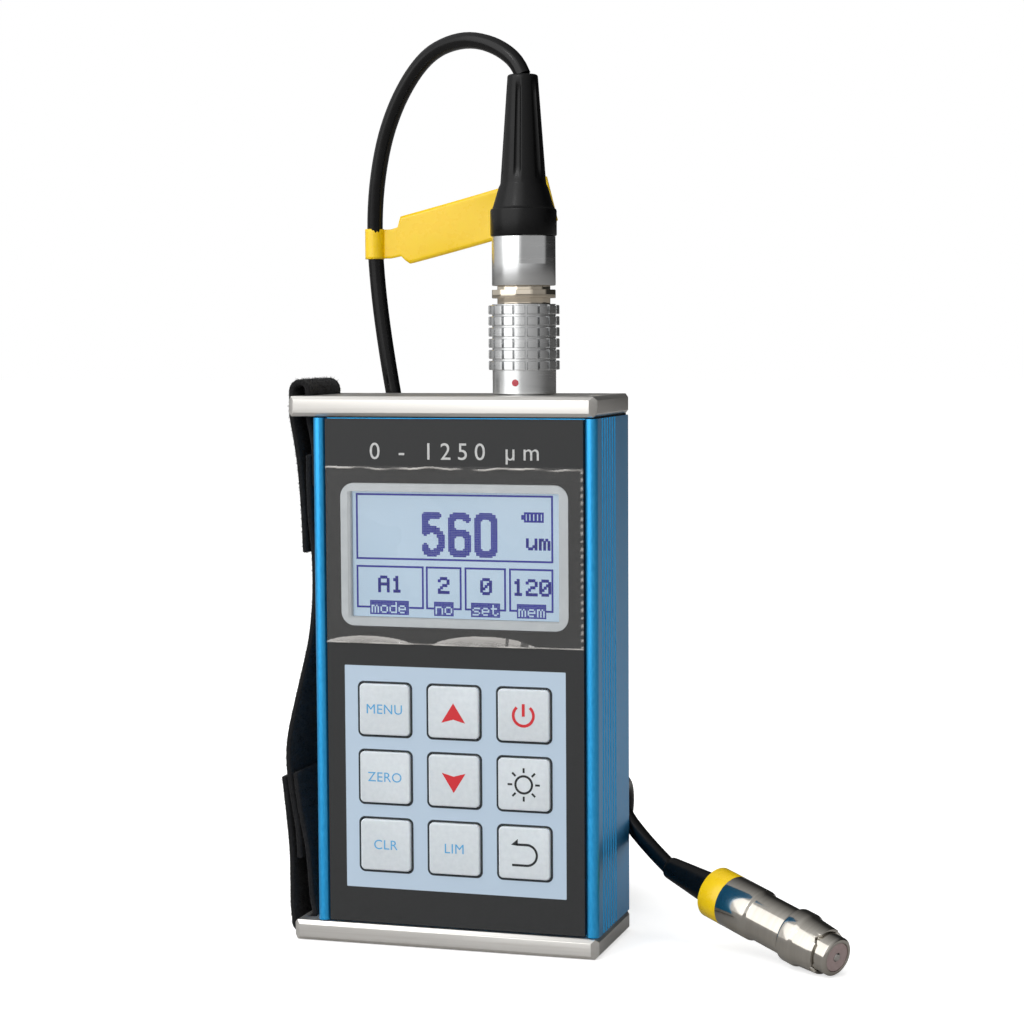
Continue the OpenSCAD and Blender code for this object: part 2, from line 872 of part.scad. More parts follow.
module buzzer() {
    color("#303236")
        translate([-buzzer_x, 0, window_z + buzzer_rise])
            difference() {
                peg(buzzer_r, board_back, board_back + buzzer_h);
                peg(buzzer_hole_r, board_back + buzzer_h - 1.5, board_back + buzzer_h + 1);
            }
}

module battery_holder() {
    w = holder_in_w + 2 * holder_wall;
    l = holder_in_l + 2 * holder_wall;
    color("#2a2b2e")
    difference() {
        translate([-w / 2, board_back, holder_z])
            cube([w, holder_wall + holder_side_h, l]);
        translate([-holder_in_w / 2, board_back + holder_wall, holder_z + holder_wall])
            cube([holder_in_w, holder_side_h + 1, holder_in_l]);
    }
}

module battery_cells() {
    cell_full = cell_l + cell_nub_h;
    color("#3d6b4a")
        for (place = cell_places)
            translate([place[0] * (cell_r + cell_gap / 2), cell_y, cell_z + place[1] * cell_full])
                mirror([0, 0, place[1]]) {
                    post(cell_r, 0, cell_l);
                    post(cell_nub_r, cell_l - 1, cell_full);
                }
}

module battery_contacts() {
    color("#c2c4c6")
        for (place = cell_places, z = [holder_z + holder_wall, holder_z + holder_wall + holder_in_l - contact_t])
            translate([place[0] * (cell_r + cell_gap / 2) - contact_w / 2, cell_y - contact_w / 2, z])
                cube([contact_w, contact_w, contact_t]);
}

// Places a piece of the socket or plug on its axis
module plug_axis() {
    translate([plug_x, 0, 0])
        children();
}

module socket_shell() {
    color("#b7b8ba")
    plug_axis()
        difference() {
            union() {
                post(socket_r, case_h - socket_l, case_h - socket_flange_t);
                post(socket_flange_r, case_h - socket_flange_t, case_h - fit);
            }
            post(socket_bore, case_h - socket_l - 1, case_h + 1);
        }
}

module socket_nut() {
    color("#b7b8ba")
    plug_axis()
        difference() {
            translate([0, 0, case_h - plate_t - socket_nut_t])
                cylinder(r = socket_r + 2.4, h = socket_nut_t, $fn = 6);
            post(socket_r + thread_fit, 0, case_h);
        }
}

// Places of the contacts around the plug's axis
module contact_ring() {
    for (k = [0 : pin_n - 1])
        rotate(360 * k / pin_n)
            translate([pin_ring, 0, 0])
                children();
}

module socket_insert() {
    color("#d8cfae")
    plug_axis() {
        post(socket_bore - thread_fit, case_h - socket_l, socket_floor);
        contact_ring()
            post(pin_r, socket_floor - 1, socket_floor + 4);
    }
}

module plug_body() {
    color("#b4b5b6")
    plug_axis()
        difference() {
            union() {
                post(nose_r, case_h - nose_deep, case_h + lift);
                post(plug_core_r, case_h + lift, sleeve_top - 1.2);
                post(thread_r, case_h + lift, collet_z + 6);
            }
            post(core_bore, case_h - nose_deep - 1, collet_z + 7);
        }
}

module plug_insert() {
    color("#d8cfae")
    plug_axis()
        difference() {
            post(core_bore - thread_fit, case_h - nose_deep, case_h + 8);
            contact_ring()
                post(pin_r + fit, case_h - nose_deep - 1, case_h - nose_deep + 5);
        }
}

// Blocks of the grip, seen from above
module knurl_section() {
    difference() {
        circle(knurl_r);
        circle(sleeve_bore);
        for (k = [0 : knurl_n - 1])
            rotate(360 * (k + 0.5) / knurl_n)
                translate([collar_r + 1, 0])
                    square([2, knurl_gap], center = true);
    }
}

module plug_sleeve() {
    row_h = knurl_l / knurl_rows;
    color("#b9babb")
    plug_axis()
        difference() {
            union() {
                tube(collar_r, sleeve_bore, case_h + lift, knurl_z + 1);
                translate([0, 0, knurl_z])
                    linear_extrude(knurl_l)
                        knurl_section();
            }
            for (k = [1 : knurl_rows - 1])
                tube(knurl_r + 1, collar_r, knurl_z + k * row_h - knurl_gap / 2, knurl_z + k * row_h + knurl_gap / 2);
            post(sleeve_cup_r, sleeve_top - neck_h - 0.3, sleeve_top + 1);
            translate([0, 0, dot_z])
                peg(dot_r + thread_fit, -collar_r - 1, dot_t - collar_r);
        }
}

module plug_dot() {
    color("#b0203a")
    plug_axis()
        translate([0, 0, dot_z])
            peg(dot_r, -collar_r, dot_t - collar_r);
}

module plug_ring() {
    color("#c9c2b4")
    plug_axis()
        difference() {
            union() {
                translate([0, 0, ring_z - neck_h - 0.1])
                    cylinder(r = neck_r, h = collet_z - ring_z + neck_h + 0.1, $fn = ring_sides);
                translate([0, 0, ring_z])
                    cylinder(r = ring_r, h = ring_h, $fn = ring_sides);
            }
            post(thread_r + thread_fit, ring_z - neck_h - 1, collet_z + 1);
        }
}

module collet_nut() {
    color("#b9babb")
    plug_axis()
        difference() {
            post(collar_r, collet_z, boot_z);
            post(thread_r + thread_fit, collet_z - 1, boot_z - 2);
            post(lead_r + fit, collet_z, boot_z + 1);
            rotate(flat_turn)
                for (sy = [-1, 1])
                    translate([-collar_r, sy * (flat_reach + 1) - 1, boot_z - flat_h])
                        cube([2 * collar_r, 2, flat_h + 1]);
        }
}

module plug_boot() {
    color("#17181a")
    plug_axis()
        rotate_extrude()
            polygon([
                [lead_r + fit, boot_z], [boot_collar_r - 0.4, boot_z], [boot_collar_r, boot_z + 0.4],
                [boot_collar_r, boot_z + boot_collar_h - 0.5], [boot_collar_r - 0.5, boot_z + boot_collar_h],
                [boot_foot_r, tail_z], [boot_end_r, boot_top], [lead_r + fit, boot_top]]);
}

module cable_upper() {
    color("#141517")
        swept(upper_route, lead_r, lead_sides);
}

module cable_lower() {
    color("#141517")
        swept(lower_route, lead_r, lead_sides);
}

module cable_coil() {
    color("#141517")
    translate([coil_x, coil_y, coil_z + coil_h / 2])
        rotate_extrude()
            translate([coil_d / 2, 0])
                round_rect(coil_section_w, coil_h, coil_round);
}

module coil_tie() {
    reach = coil_d / 2 + coil_section_w / 2;
    depth = coil_section_w + tie_sag + fit;
    color("#1d1e20")
    translate([coil_x, coil_y + reach + fit - depth / 2, coil_z + coil_h / 2])
        rotate([90, 0, 90])
            linear_extrude(tie_w, center = true)
                difference() {
                    square([depth + 2 * tie_t, coil_h + 2 * tie_t], center = true);
                    square([depth, coil_h + thread_fit], center = true);
                }
}

module cable_flag() {
    color("#f0d400")
    translate(flag_place) {
        tube(wrap_r + flag_t, wrap_r, -flag_neck_h / 2, flag_neck_h / 2);
        slab(-flag_t / 2, flag_t / 2)
            polygon([
                [wrap_r + flag_t / 2, -flag_neck_h / 2], [wrap_r + flag_neck_l, -flag_neck_h / 2],
                [wrap_r + flag_neck_l, flag_neck_h / 2], [wrap_r + flag_t / 2, flag_neck_h / 2]]);
        translate([wrap_r + flag_neck_l - 1, 0, 0.4])
            rotate([0, -flag_slant, 0])
                slab(-flag_t / 2, flag_t / 2)
                    polygon([
                        [0, -flag_neck_h / 2], [flag_flare, -flag_h / 2], [flag_l, -flag_h / 2],
                        [flag_l, flag_h / 2], [flag_flare, flag_h / 2], [0, flag_neck_h / 2]]);
    }
}

// Places a piece of the probe: z runs out of the nose from its face
module probe_axis() {
    translate(probe_tip_place)
        rotate([0, 90 + probe_tilt, -probe_turn])
            children();
}

module probe_housing() {
    color("#b5b6b4")
    probe_axis()
        rotate_extrude()
            polygon([
                [lead_r + fit, probe_end], [band_r, probe_end], [band_r, band_z], [rear_r, band_z],
                [rear_r, rear_z], [waist_r, rear_z + shoulder], [waist_r, joint_z], [spigot_r, joint_z],
                [spigot_r, joint_z + spigot_l], [probe_bore, joint_z + spigot_l],
                [probe_bore, spring_z0 - fit], [lead_r + fit, spring_z0 - fit]]);
}

module probe_cap() {
    ring_end = joint_z + fit + cap_ring_l;
    front_r = (cap_r + cap_rim_r) / 2;
    notch = sqrt(2) * notch_depth;
    color("#b5b6b4")
    probe_axis()
        difference() {
            rotate_extrude()
                polygon([
                    [spigot_r + thread_fit, joint_z + fit], [cap_r - 0.3, joint_z + fit], [cap_r, joint_z + fit + 0.4],
                    [cap_r, ring_end], [front_r, ring_end + cap_slope], [cap_rim_r, cap_z], [nose_bore, cap_z],
                    [nose_bore, cap_step], [spigot_r + thread_fit, cap_step]]);
            for (turn = [45, 135])
                translate([0, 0, cap_z])
                    rotate([45, 0, turn])
                        cube([4 * cap_r, notch, notch], center = true);
        }
}

module probe_nose() {
    edge = 0.4;
    color("#b0b1ae")
    probe_axis()
        rotate_extrude()
            polygon([
                [0, nose_stop - nose_flange_t - nose_tail_l], [nose_tail_r, nose_stop - nose_flange_t - nose_tail_l],
                [nose_tail_r, nose_stop - nose_flange_t], [nose_flange_r, nose_stop - nose_flange_t],
                [nose_flange_r, nose_stop - fit], [probe_nose_r, nose_stop - fit], [probe_nose_r, -edge],
                [probe_nose_r - edge, 0], [nose_cup_r, 0], [nose_cup_r, -nose_cup_l], [0, -nose_cup_l]]);
}

module probe_face() {
    color("#a7928f")
    probe_axis()
        tube(face_r, tip_r + thread_fit, -face_t, -0.15);
}

module probe_tip() {
    color("#d6d3d0")
    probe_axis()
        rotate_extrude()
            polygon([[0, -nose_cup_l], [tip_r, -nose_cup_l], [tip_r, -0.1], [tip_r * 0.7, 0.1], [0, 0.15]]);
}

module probe_winding() {
    color("#a5642c")
    probe_axis()
        tube(winding_r, tip_r + thread_fit, -nose_cup_l, winding_l - nose_cup_l);
}

module probe_spring() {
    steps = spring_turns * spring_steps;
    rise = (spring_z1 - spring_z0 - 2 * spring_wire) / steps;
    helix = [
        for (i = [0 : steps])
            let (turn = 360 * i / spring_steps)
                [spring_r * cos(turn), spring_r * sin(turn), spring_z0 + spring_wire + i * rise]];
    color("#8d9094")
    probe_axis()
        swept(helix, spring_wire, 6);
}

module probe_band() {
    color("#f0d400")
    probe_axis()
        tube(band_r + band_t, band_r, probe_end, band_z);
}

module probe_boot() {
    color("#17181a")
    probe_axis()
        rotate_extrude()
            polygon([
                [lead_r + fit, probe_end], [probe_boot_r, probe_end], [lead_r + 0.6, probe_end - probe_boot_l],
                [lead_r + fit, probe_end - probe_boot_l]]);
}

module strap_top_tab() {
    color("#222326")
        strap(top_tab_path);
}

module strap_bottom_tab() {
    color("#222326")
        strap(bottom_tab_path);
}

module strap_band() {
    color("#151618")
        strap(band_path);
}

body_shell();
top_plate();
bottom_plate();
top_gasket();
bottom_gasket();
top_plate_screws();
bottom_plate_screws();
front_panel();
front_overlay();
screen_film();
display_window();
lcd_frame();
lcd_panel();
backlight_panel();
key_menu();
key_up();
key_power();
key_zero();
key_down();
key_light();
key_clear();
key_limit();
key_return();
key_switches();
main_board();
board_posts();
board_chips();
buzzer();
battery_holder();
battery_cells();
battery_contacts();
socket_shell();
socket_nut();
socket_insert();
plug_body();
plug_insert();
plug_sleeve();
plug_dot();
plug_ring();
collet_nut();
plug_boot();
cable_upper();
cable_lower();
cable_coil();
coil_tie();
cable_flag();
probe_housing();
probe_cap();
probe_nose();
probe_face();
probe_tip();
probe_winding();
probe_spring();
probe_band();
probe_boot();
strap_top_tab();
strap_bottom_tab();
strap_band();
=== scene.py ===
"""Coating thickness gauge: finishes, print, display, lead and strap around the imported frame."""
import math

import bmesh
import bpy
from mathutils import Euler, Matrix, Vector


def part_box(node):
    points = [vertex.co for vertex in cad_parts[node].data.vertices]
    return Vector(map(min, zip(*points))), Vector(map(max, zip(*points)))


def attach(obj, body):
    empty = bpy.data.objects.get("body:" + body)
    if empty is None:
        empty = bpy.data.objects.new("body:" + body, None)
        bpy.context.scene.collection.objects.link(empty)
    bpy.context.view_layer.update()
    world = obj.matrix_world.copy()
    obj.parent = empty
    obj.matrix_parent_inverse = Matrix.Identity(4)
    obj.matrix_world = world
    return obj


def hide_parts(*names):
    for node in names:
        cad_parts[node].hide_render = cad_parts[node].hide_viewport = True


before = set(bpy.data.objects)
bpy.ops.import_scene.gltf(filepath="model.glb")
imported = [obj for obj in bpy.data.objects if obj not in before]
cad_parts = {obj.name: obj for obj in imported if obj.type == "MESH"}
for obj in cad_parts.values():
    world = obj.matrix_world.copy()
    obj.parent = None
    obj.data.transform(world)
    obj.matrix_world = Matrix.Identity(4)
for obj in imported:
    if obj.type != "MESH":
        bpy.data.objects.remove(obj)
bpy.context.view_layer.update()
MM = 0.001

# Extruded body
# The case is one length of aluminium extrusion, ribbed down both sides and anodised blue.
# Its front channel takes the panel between two rounded rails, and both ends are sawn square.


def paint(code):
    """Linear colour of a six-digit colour code."""
    parts = [int(code[i:i + 2], 16) / 255 for i in (0, 2, 4)]
    return [p / 12.92 if p < 0.04045 else ((p + 0.055) / 1.055) ** 2.4 for p in parts] + [1.0]


def put(tree, kind, inputs=None, **settings):
    """Adds one shader node. An input takes a value, or a socket to be linked to it."""
    node = tree.nodes.new("ShaderNode" + kind)
    for key, value in settings.items():
        setattr(node, key, value)
    for key, value in (inputs or {}).items():
        if isinstance(value, bpy.types.NodeSocket):
            tree.links.new(value, node.inputs[key])
        else:
            node.inputs[key].default_value = value
    return node


def new_group(name, inputs, outputs):
    """Starts a shader group with named inputs, each with its default, and named value outputs."""
    tree = bpy.data.node_groups.new(name, "ShaderNodeTree")
    for label, kind, value in inputs:
        socket = tree.interface.new_socket(label, in_out="INPUT", socket_type="NodeSocket" + kind)
        socket.default_value = value
    for label in outputs:
        tree.interface.new_socket(label, in_out="OUTPUT", socket_type="NodeSocketFloat")
    return tree, tree.nodes.new("NodeGroupInput"), tree.nodes.new("NodeGroupOutput")


def make_grain():
    """Group: fine grain that can be stretched and turned, and the same with broad patches."""
    tree, given, out = new_group(
        "surface_grain",
        [("Stretch", "Vector", (1000, 1000, 1000)), ("Turn", "Vector", (0, 0, 0)), ("Patch", "Float", 30)],
        ["Fine", "Tone"])
    place = put(tree, "TexCoord")
    spun = put(
        tree, "VectorRotate", {"Vector": place.outputs["Object"], "Rotation": given.outputs["Turn"]},
        rotation_type="EULER_XYZ", invert=True)
    spread = put(
        tree, "VectorMath", {0: spun.outputs[0], 1: given.outputs["Stretch"]}, operation="MULTIPLY")
    fine = put(tree, "TexNoise", {"Vector": spread.outputs[0], "Scale": 1.0, "Detail": 3.0})
    broad = put(tree, "TexNoise", {"Vector": spun.outputs[0], "Scale": given.outputs["Patch"], "Detail": 2.0})
    sharp = put(tree, "MapRange", {"Value": fine.outputs[0], "From Min": 0.3, "From Max": 0.7})
    both = put(tree, "Math", {0: sharp.outputs[0], 1: broad.outputs[0]}, operation="ADD")
    half = put(tree, "Math", {0: both.outputs[0], 1: 0.5}, operation="MULTIPLY")
    tree.links.new(sharp.outputs[0], out.inputs["Fine"])
    tree.links.new(half.outputs[0], out.inputs["Tone"])
    return tree


GRAIN = make_grain()


def finish(name, dark, light, stretch, rough, bump=0.1, depth=0.02, turn=(0, 0, 0), patch=30, **sockets):
    """Material whose colour, roughness and relief follow the grain group."""
    mat = bpy.data.materials.new(name)
    mat.use_nodes = True
    tree = mat.node_tree
    shader = tree.nodes["Principled BSDF"]
    for key, value in sockets.items():
        shader.inputs[key.replace("_", " ")].default_value = value
    grain = put(tree, "Group", node_tree=GRAIN)
    grain.inputs["Stretch"].default_value = stretch
    grain.inputs["Turn"].default_value = turn
    grain.inputs["Patch"].default_value = patch
    if dark == light:
        shader.inputs["Base Color"].default_value = paint(dark)
    else:
        tone = put(
            tree, "MixRGB", {"Fac": grain.outputs["Tone"], "Color1": paint(dark), "Color2": paint(light)},
            name="tone")
        tree.links.new(tone.outputs[0], shader.inputs["Base Color"])
    gloss = put(tree, "MapRange", {"Value": grain.outputs["Fine"], "To Min": rough[0], "To Max": rough[1]})
    relief = put(
        tree, "Bump", {"Height": grain.outputs["Fine"], "Strength": bump, "Distance": depth * MM},
        name="relief")
    tree.links.new(gloss.outputs[0], shader.inputs["Roughness"])
    tree.links.new(relief.outputs[0], shader.inputs["Normal"])
    return mat


def dress(mat, *nodes):
    """Gives CAD nodes their finish and leaves their shape alone."""
    for node in nodes:
        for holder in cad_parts[node].material_slots:
            holder.material = mat


anodised = finish(
    "blue_anodised", "16a6f0", "3cc0ff", (2600, 2600, 700), (0.3, 0.42), 0.2, patch=14, Metallic=0.9,
    Coat_Weight=0.6, Coat_Roughness=0.18)
dress(anodised, "body_shell")

# End plates, gaskets and screws
# Two milled aluminium plates close the ends. Each is brushed along its length and chamfered all
# round, sits on a thin black gasket and is held by four countersunk socket screws.
EDGE = 0.14 * MM


def add_object(name, mesh, mat, body):
    """Links a new mesh piece, gives it its finish and lets it ride on its body."""
    mesh.materials.clear()
    mesh.materials.append(mat)
    piece = bpy.data.objects.new(name, mesh)
    bpy.context.scene.collection.objects.link(piece)
    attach(piece, body)
    return piece


def rounded(node, mat, body, width=EDGE, segments=2):
    """Copy of a CAD node with its sharp edges broken, which stands for that node."""
    bm = bmesh.new()
    bm.from_mesh(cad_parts[node].data)
    bmesh.ops.remove_doubles(bm, verts=bm.verts, dist=0.002 * MM)
    bmesh.ops.dissolve_limit(bm, angle_limit=math.radians(0.4), verts=bm.verts, edges=bm.edges)
    for face in bm.faces:
        face.smooth = True
    mesh = bpy.data.meshes.new(node + "_dressed")
    bm.to_mesh(mesh)
    bm.free()
    piece = add_object(node + "_dressed", mesh, mat, body)
    bevel = piece.modifiers.new("broken_edges", "BEVEL")
    bevel.width = width
    bevel.segments = segments
    bevel.limit_method = "ANGLE"
    bevel.angle_limit = math.radians(28)
    bevel.harden_normals = True
    bevel.use_clamp_overlap = True
    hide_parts(node)
    return piece


brushed = finish(
    "brushed_aluminium", "dcd9d4", "e8e6e2", (40, 2200, 2200), (0.3, 0.38), 0.04, patch=20, Metallic=0.85)
rounded("top_plate", brushed, "gauge")
rounded("bottom_plate", brushed, "gauge")
dress(finish("gasket_rubber", "0c0c0d", "17171a", (900, 900, 900), (0.7, 0.85), 0.2),
      "top_gasket", "bottom_gasket")
dress(finish("screw_steel", "8f9092", "b9babd", (1500, 1500, 1500), (0.24, 0.4), 0.1, Metallic=1.0),
      "top_plate_screws", "bottom_plate_screws")

# Front panel and printed overlay
# A grey backing panel carries a charcoal polycarbonate overlay with a fine matte grain. The field
# around the keys is printed pale blue, with a dark line round each key, and the range is in silver.
KEY_FIELD = (0, 37.05, 25, 24.45, 0.2)
KEY_COLUMNS = (-15.75, 0, 15.75)
KEY_ROWS = (22.2, 37.1, 52)
KEY_OUTLINE = (6.28, 6.13, 1.4)


def make_print_box():
    """Group: mask of a printed rounded rectangle, placed and sized in x and z in millimetres."""
    tree, given, out = new_group(
        "print_box",
        [("Centre X", "Float", 0), ("Centre Z", "Float", 0), ("Half width", "Float", 10),
         ("Half height", "Float", 10), ("Corner", "Float", 1), ("Softness", "Float", 0.08)],
        ["Mask", "Distance"])
    place = put(tree, "TexCoord")
    axes = put(tree, "SeparateXYZ", {0: place.outputs["Object"]})

    def math_node(operation, *values):
        return put(tree, "Math", dict(enumerate(values)), operation=operation).outputs[0]

    def outside(axis, centre, half):
        moved = math_node("SUBTRACT", math_node("DIVIDE", axes.outputs[axis], MM), given.outputs[centre])
        inner = math_node("SUBTRACT", given.outputs[half], given.outputs["Corner"])
        return math_node("SUBTRACT", math_node("ABSOLUTE", moved), inner)

    across = outside("X", "Centre X", "Half width")
    up = outside("Z", "Centre Z", "Half height")
    far_x = math_node("MAXIMUM", across, 0.0)
    far_z = math_node("MAXIMUM", up, 0.0)
    corner = math_node("SQRT", math_node("MULTIPLY_ADD", far_x, far_x, math_node("MULTIPLY", far_z, far_z)))
    side = math_node("MINIMUM", math_node("MAXIMUM", across, up), 0.0)
    gap = math_node("SUBTRACT", math_node("ADD", corner, side), given.outputs["Corner"])
    scaled = math_node("DIVIDE", gap, given.outputs["Softness"])
    mask = put(tree, "MapRange", {"Value": scaled, "From Min": 0.5, "From Max": -0.5})
    tree.links.new(mask.outputs[0], out.inputs["Mask"])
    tree.links.new(gap, out.inputs["Distance"])
    return tree


PRINT_BOX = make_print_box()


def printed_box(tree, x, z, half_w, half_h, corner, softness=0.08):
    """Places the print group in a material with its sizes in millimetres."""
    node = put(tree, "Group", node_tree=PRINT_BOX)
    for key, value in zip(node.inputs, (x, z, half_w, half_h, corner, softness)):
        key.default_value = value
    return node


def print_over(mat, mask, color):
    """Prints a colour over what the material has so far, where the mask says."""
    tree = mat.node_tree
    shader = tree.nodes["Principled BSDF"]
    below = shader.inputs["Base Color"].links[0].from_socket
    layer = put(tree, "MixRGB", {"Fac": mask, "Color1": below, "Color2": paint(color)})
    tree.links.new(layer.outputs[0], shader.inputs["Base Color"])


panel_finish = finish("panel_grey", "3a3d41", "4a4e53", (1200, 1200, 1200), (0.45, 0.6))
dress(panel_finish, "front_panel")
overlay_finish = finish(
    "overlay_charcoal", "232425", "2d2e2f", (2200, 2200, 2200), (0.42, 0.6), 0.22, patch=18,
    Specular_IOR_Level=0.4)
field_mask = printed_box(overlay_finish.node_tree, *KEY_FIELD)
print_over(overlay_finish, field_mask.outputs["Mask"], "bdd0e2")
for key_x in KEY_COLUMNS:
    for key_z in KEY_ROWS:
        outline = printed_box(overlay_finish.node_tree, key_x, key_z, *KEY_OUTLINE)
        print_over(overlay_finish, outline.outputs["Mask"], "262d33")
dress(overlay_finish, "front_overlay")
overlay_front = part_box("front_overlay")[0][1]

silver_ink = finish("silver_ink", "a7a8a8", "cfd0cf", (1500, 1500, 1500), (0.3, 0.45), Metallic=0.5)
INK = 0.03 * MM


def thick_print(name, outlines, y, mat, body):
    """Closed outlines in x and z, raised from depth y towards the front by one layer of ink."""
    bm = bmesh.new()
    for outline in outlines:
        back = [bm.verts.new((x * MM, y, z * MM)) for x, z in outline]
        face = bm.faces.new(back)
        grown = bmesh.ops.extrude_face_region(bm, geom=[face])
        front = [v for v in grown["geom"] if isinstance(v, bmesh.types.BMVert)]
        bmesh.ops.translate(bm, vec=(0, -INK, 0), verts=front)
    bmesh.ops.recalc_face_normals(bm, faces=bm.faces)
    mesh = bpy.data.meshes.new(name)
    bm.to_mesh(mesh)
    bm.free()
    return add_object(name, mesh, mat, body)


def lettering(name, words, x, z, height, y, mat, body, spacing=1.0, bold=0.0):
    """Plain words or numbers, centred at x and z, as raised ink on depth y."""
    curve = bpy.data.curves.new(name, "FONT")
    curve.body = words
    curve.align_x = "CENTER"
    curve.align_y = "CENTER"
    curve.size = height * MM / 0.7
    curve.space_character = spacing
    curve.offset = bold * MM
    curve.extrude = INK / 2
    curve.resolution_u = 4
    source = bpy.data.objects.new(name + "_curve", curve)
    bpy.context.scene.collection.objects.link(source)
    bpy.context.view_layer.update()
    mesh = bpy.data.meshes.new_from_object(source.evaluated_get(bpy.context.evaluated_depsgraph_get()))
    bpy.data.objects.remove(source)
    mesh.transform(Matrix.Translation((x * MM, y - INK / 2, z * MM)) @ Matrix.Rotation(math.pi / 2, 4, "X"))
    mesh.name = name
    return add_object(name, mesh, mat, body)


lettering("range_print", "0 - 1250 µm", 0.4, 108, 3.6, overlay_front, silver_ink, "gauge", 1.5)

# Display
# A clear acrylic window with a grey border printed behind it sits flush in the overlay. Behind it a
# steel frame holds a dot-matrix liquid-crystal glass and a white backlight against the board.
VIEW_X = -0.15
VIEW_HALF = (23.8, 13.75)
WINDOW_Z = 85.7
LCD_INK = "1d2398"
BIG_DOT = 0.742
TEXT_DOT = 0.5
LABEL_DOT = 0.345
STROKE = 1.35
LINE_W = 0.42

window_finish = finish(
    "window_acrylic", "b6bcc0", "c3c9cc", (400, 400, 400), (0.1, 0.16), 0.0, Coat_Weight=0.3,
    Coat_Roughness=0.05)
window_tree = window_finish.node_tree
clear_view = printed_box(window_tree, VIEW_X, WINDOW_Z, *VIEW_HALF, 0.3)
window_side = put(window_tree, "SeparateXYZ", {0: put(window_tree, "TexCoord").outputs["Normal"]})
window_front = put(window_tree, "Math", {0: window_side.outputs["Y"], 1: -0.5}, operation="LESS_THAN")
see_through = put(
    window_tree, "MapRange", {"Value": clear_view.outputs["Mask"], "To Min": 1.0, "To Max": 0.0})
printed = put(
    window_tree, "Math", {0: see_through.outputs[0], 1: window_front.outputs[0]}, operation="MULTIPLY")
border = put(window_tree, "MapRange", {"Value": printed.outputs[0], "To Min": 0.02, "To Max": 1.0})
window_tree.links.new(border.outputs[0], window_tree.nodes["Principled BSDF"].inputs["Alpha"])
dress(window_finish, "display_window")
dress(finish("frame_steel", "9aa3ab", "b4bcc2", (1500, 1500, 1500), (0.35, 0.5), Metallic=0.6), "lcd_frame")
dress(finish("backlight_white", "e6eaf0", "f4f6f8", (800, 800, 800), (0.4, 0.5)), "backlight_panel")

lcd_finish = finish("lcd_glass", "b6cfe3", "c6dbec", (60, 60, 60), (0.22, 0.3), 0.0, patch=22)
lcd_tree = lcd_finish.node_tree
lcd_shader = lcd_tree.nodes["Principled BSDF"]
lcd_cells = put(lcd_tree, "TexCoord")
lcd_grid = put(lcd_tree, "TexBrick", {
    "Vector": put(lcd_tree, "VectorRotate", {"Vector": lcd_cells.outputs["Object"], "Angle": math.pi / 2},
                  rotation_type="X_AXIS").outputs[0],
    "Color1": (1, 1, 1, 1), "Color2": (0.97, 0.98, 1, 1), "Mortar": (0.86, 0.9, 0.96, 1), "Scale": 1 / MM,
    "Mortar Size": 0.025, "Brick Width": 0.36, "Row Height": 0.36}, offset=0.0)
lcd_tone = put(lcd_tree, "MixRGB", {
    "Fac": 0.6, "Color1": lcd_tree.nodes["tone"].outputs[0], "Color2": lcd_grid.outputs["Color"]},
    blend_type="MULTIPLY")
lcd_tree.links.new(lcd_tone.outputs[0], lcd_shader.inputs["Base Color"])
lcd_tree.links.new(lcd_tone.outputs[0], lcd_shader.inputs["Emission Color"])
lcd_shader.inputs["Emission Strength"].default_value = 0.28
dress(lcd_finish, "lcd_panel")
lcd_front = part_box("lcd_panel")[0][1]

BIG_DIGITS = {
    "5": ["XXXXXX.", "XXXXXX.", "XX.....", "XX.....", "XXXXX..", "XXXXXX.", "XX..XXX", ".....XX", ".....XX",
          "XX...XX", "XX..XXX", "XXXXXX.", ".XXXX.."],
    "0": [".XXXXX.", "XXXXXXX", *["XX...XX"] * 9, "XXXXXXX", ".XXXXX."],
    "6": [".XXXXX.", "XXXXXXX", "XX...XX", "XX.....", "XX.....", "XXXXXX.", "XXXXXXX", *["XX...XX"] * 4,
          "XXXXXXX", ".XXXXX."]}
SMALL_GLYPHS = {
    "A": [".XXX.", "X...X", "X...X", "XXXXX", "X...X", "X...X", "X...X"],
    "0": [".XXX.", "X...X", "X..XX", "X.X.X", "XX..X", "X...X", ".XXX."],
    "1": ["..X..", ".XX..", "..X..", "..X..", "..X..", "..X..", ".XXX."],
    "2": [".XXX.", "X...X", "....X", "..XX.", ".X...", "X....", "XXXXX"],
    "d": ["....X", "....X", ".XXXX", "X...X", "X...X", "X...X", ".XXXX"],
    "e": [".....", ".....", ".XXX.", "X...X", "XXXXX", "X....", ".XXX."],
    "m": [".....", ".....", "XX.X.", "X.X.X", "X.X.X", "X.X.X", "X.X.X"],
    "n": [".....", ".....", "XXXX.", "X...X", "X...X", "X...X", "X...X"],
    "o": [".....", ".....", ".XXX.", "X...X", "X...X", "X...X", ".XXX."],
    "s": [".....", ".....", ".XXXX", "X....", ".XXX.", "....X", "XXXX."],
    "t": [".X...", ".X...", "XXXX.", ".X...", ".X...", ".X..X", "..XX."],
    "u": [".....", ".....", "X...X", "X...X", "X...X", "X..XX", ".XX.X"]}


def box_outline(x0, z0, x1, z1):
    """Corners of a rectangle in x and z."""
    return [(x0, z0), (x1, z0), (x1, z1), (x0, z1)]


def dot_rows(words, font):
    """Rows of dots of a short word, with one empty column between letters."""
    glyphs = [font[letter] for letter in words]
    return [".".join(row) for row in zip(*glyphs)]


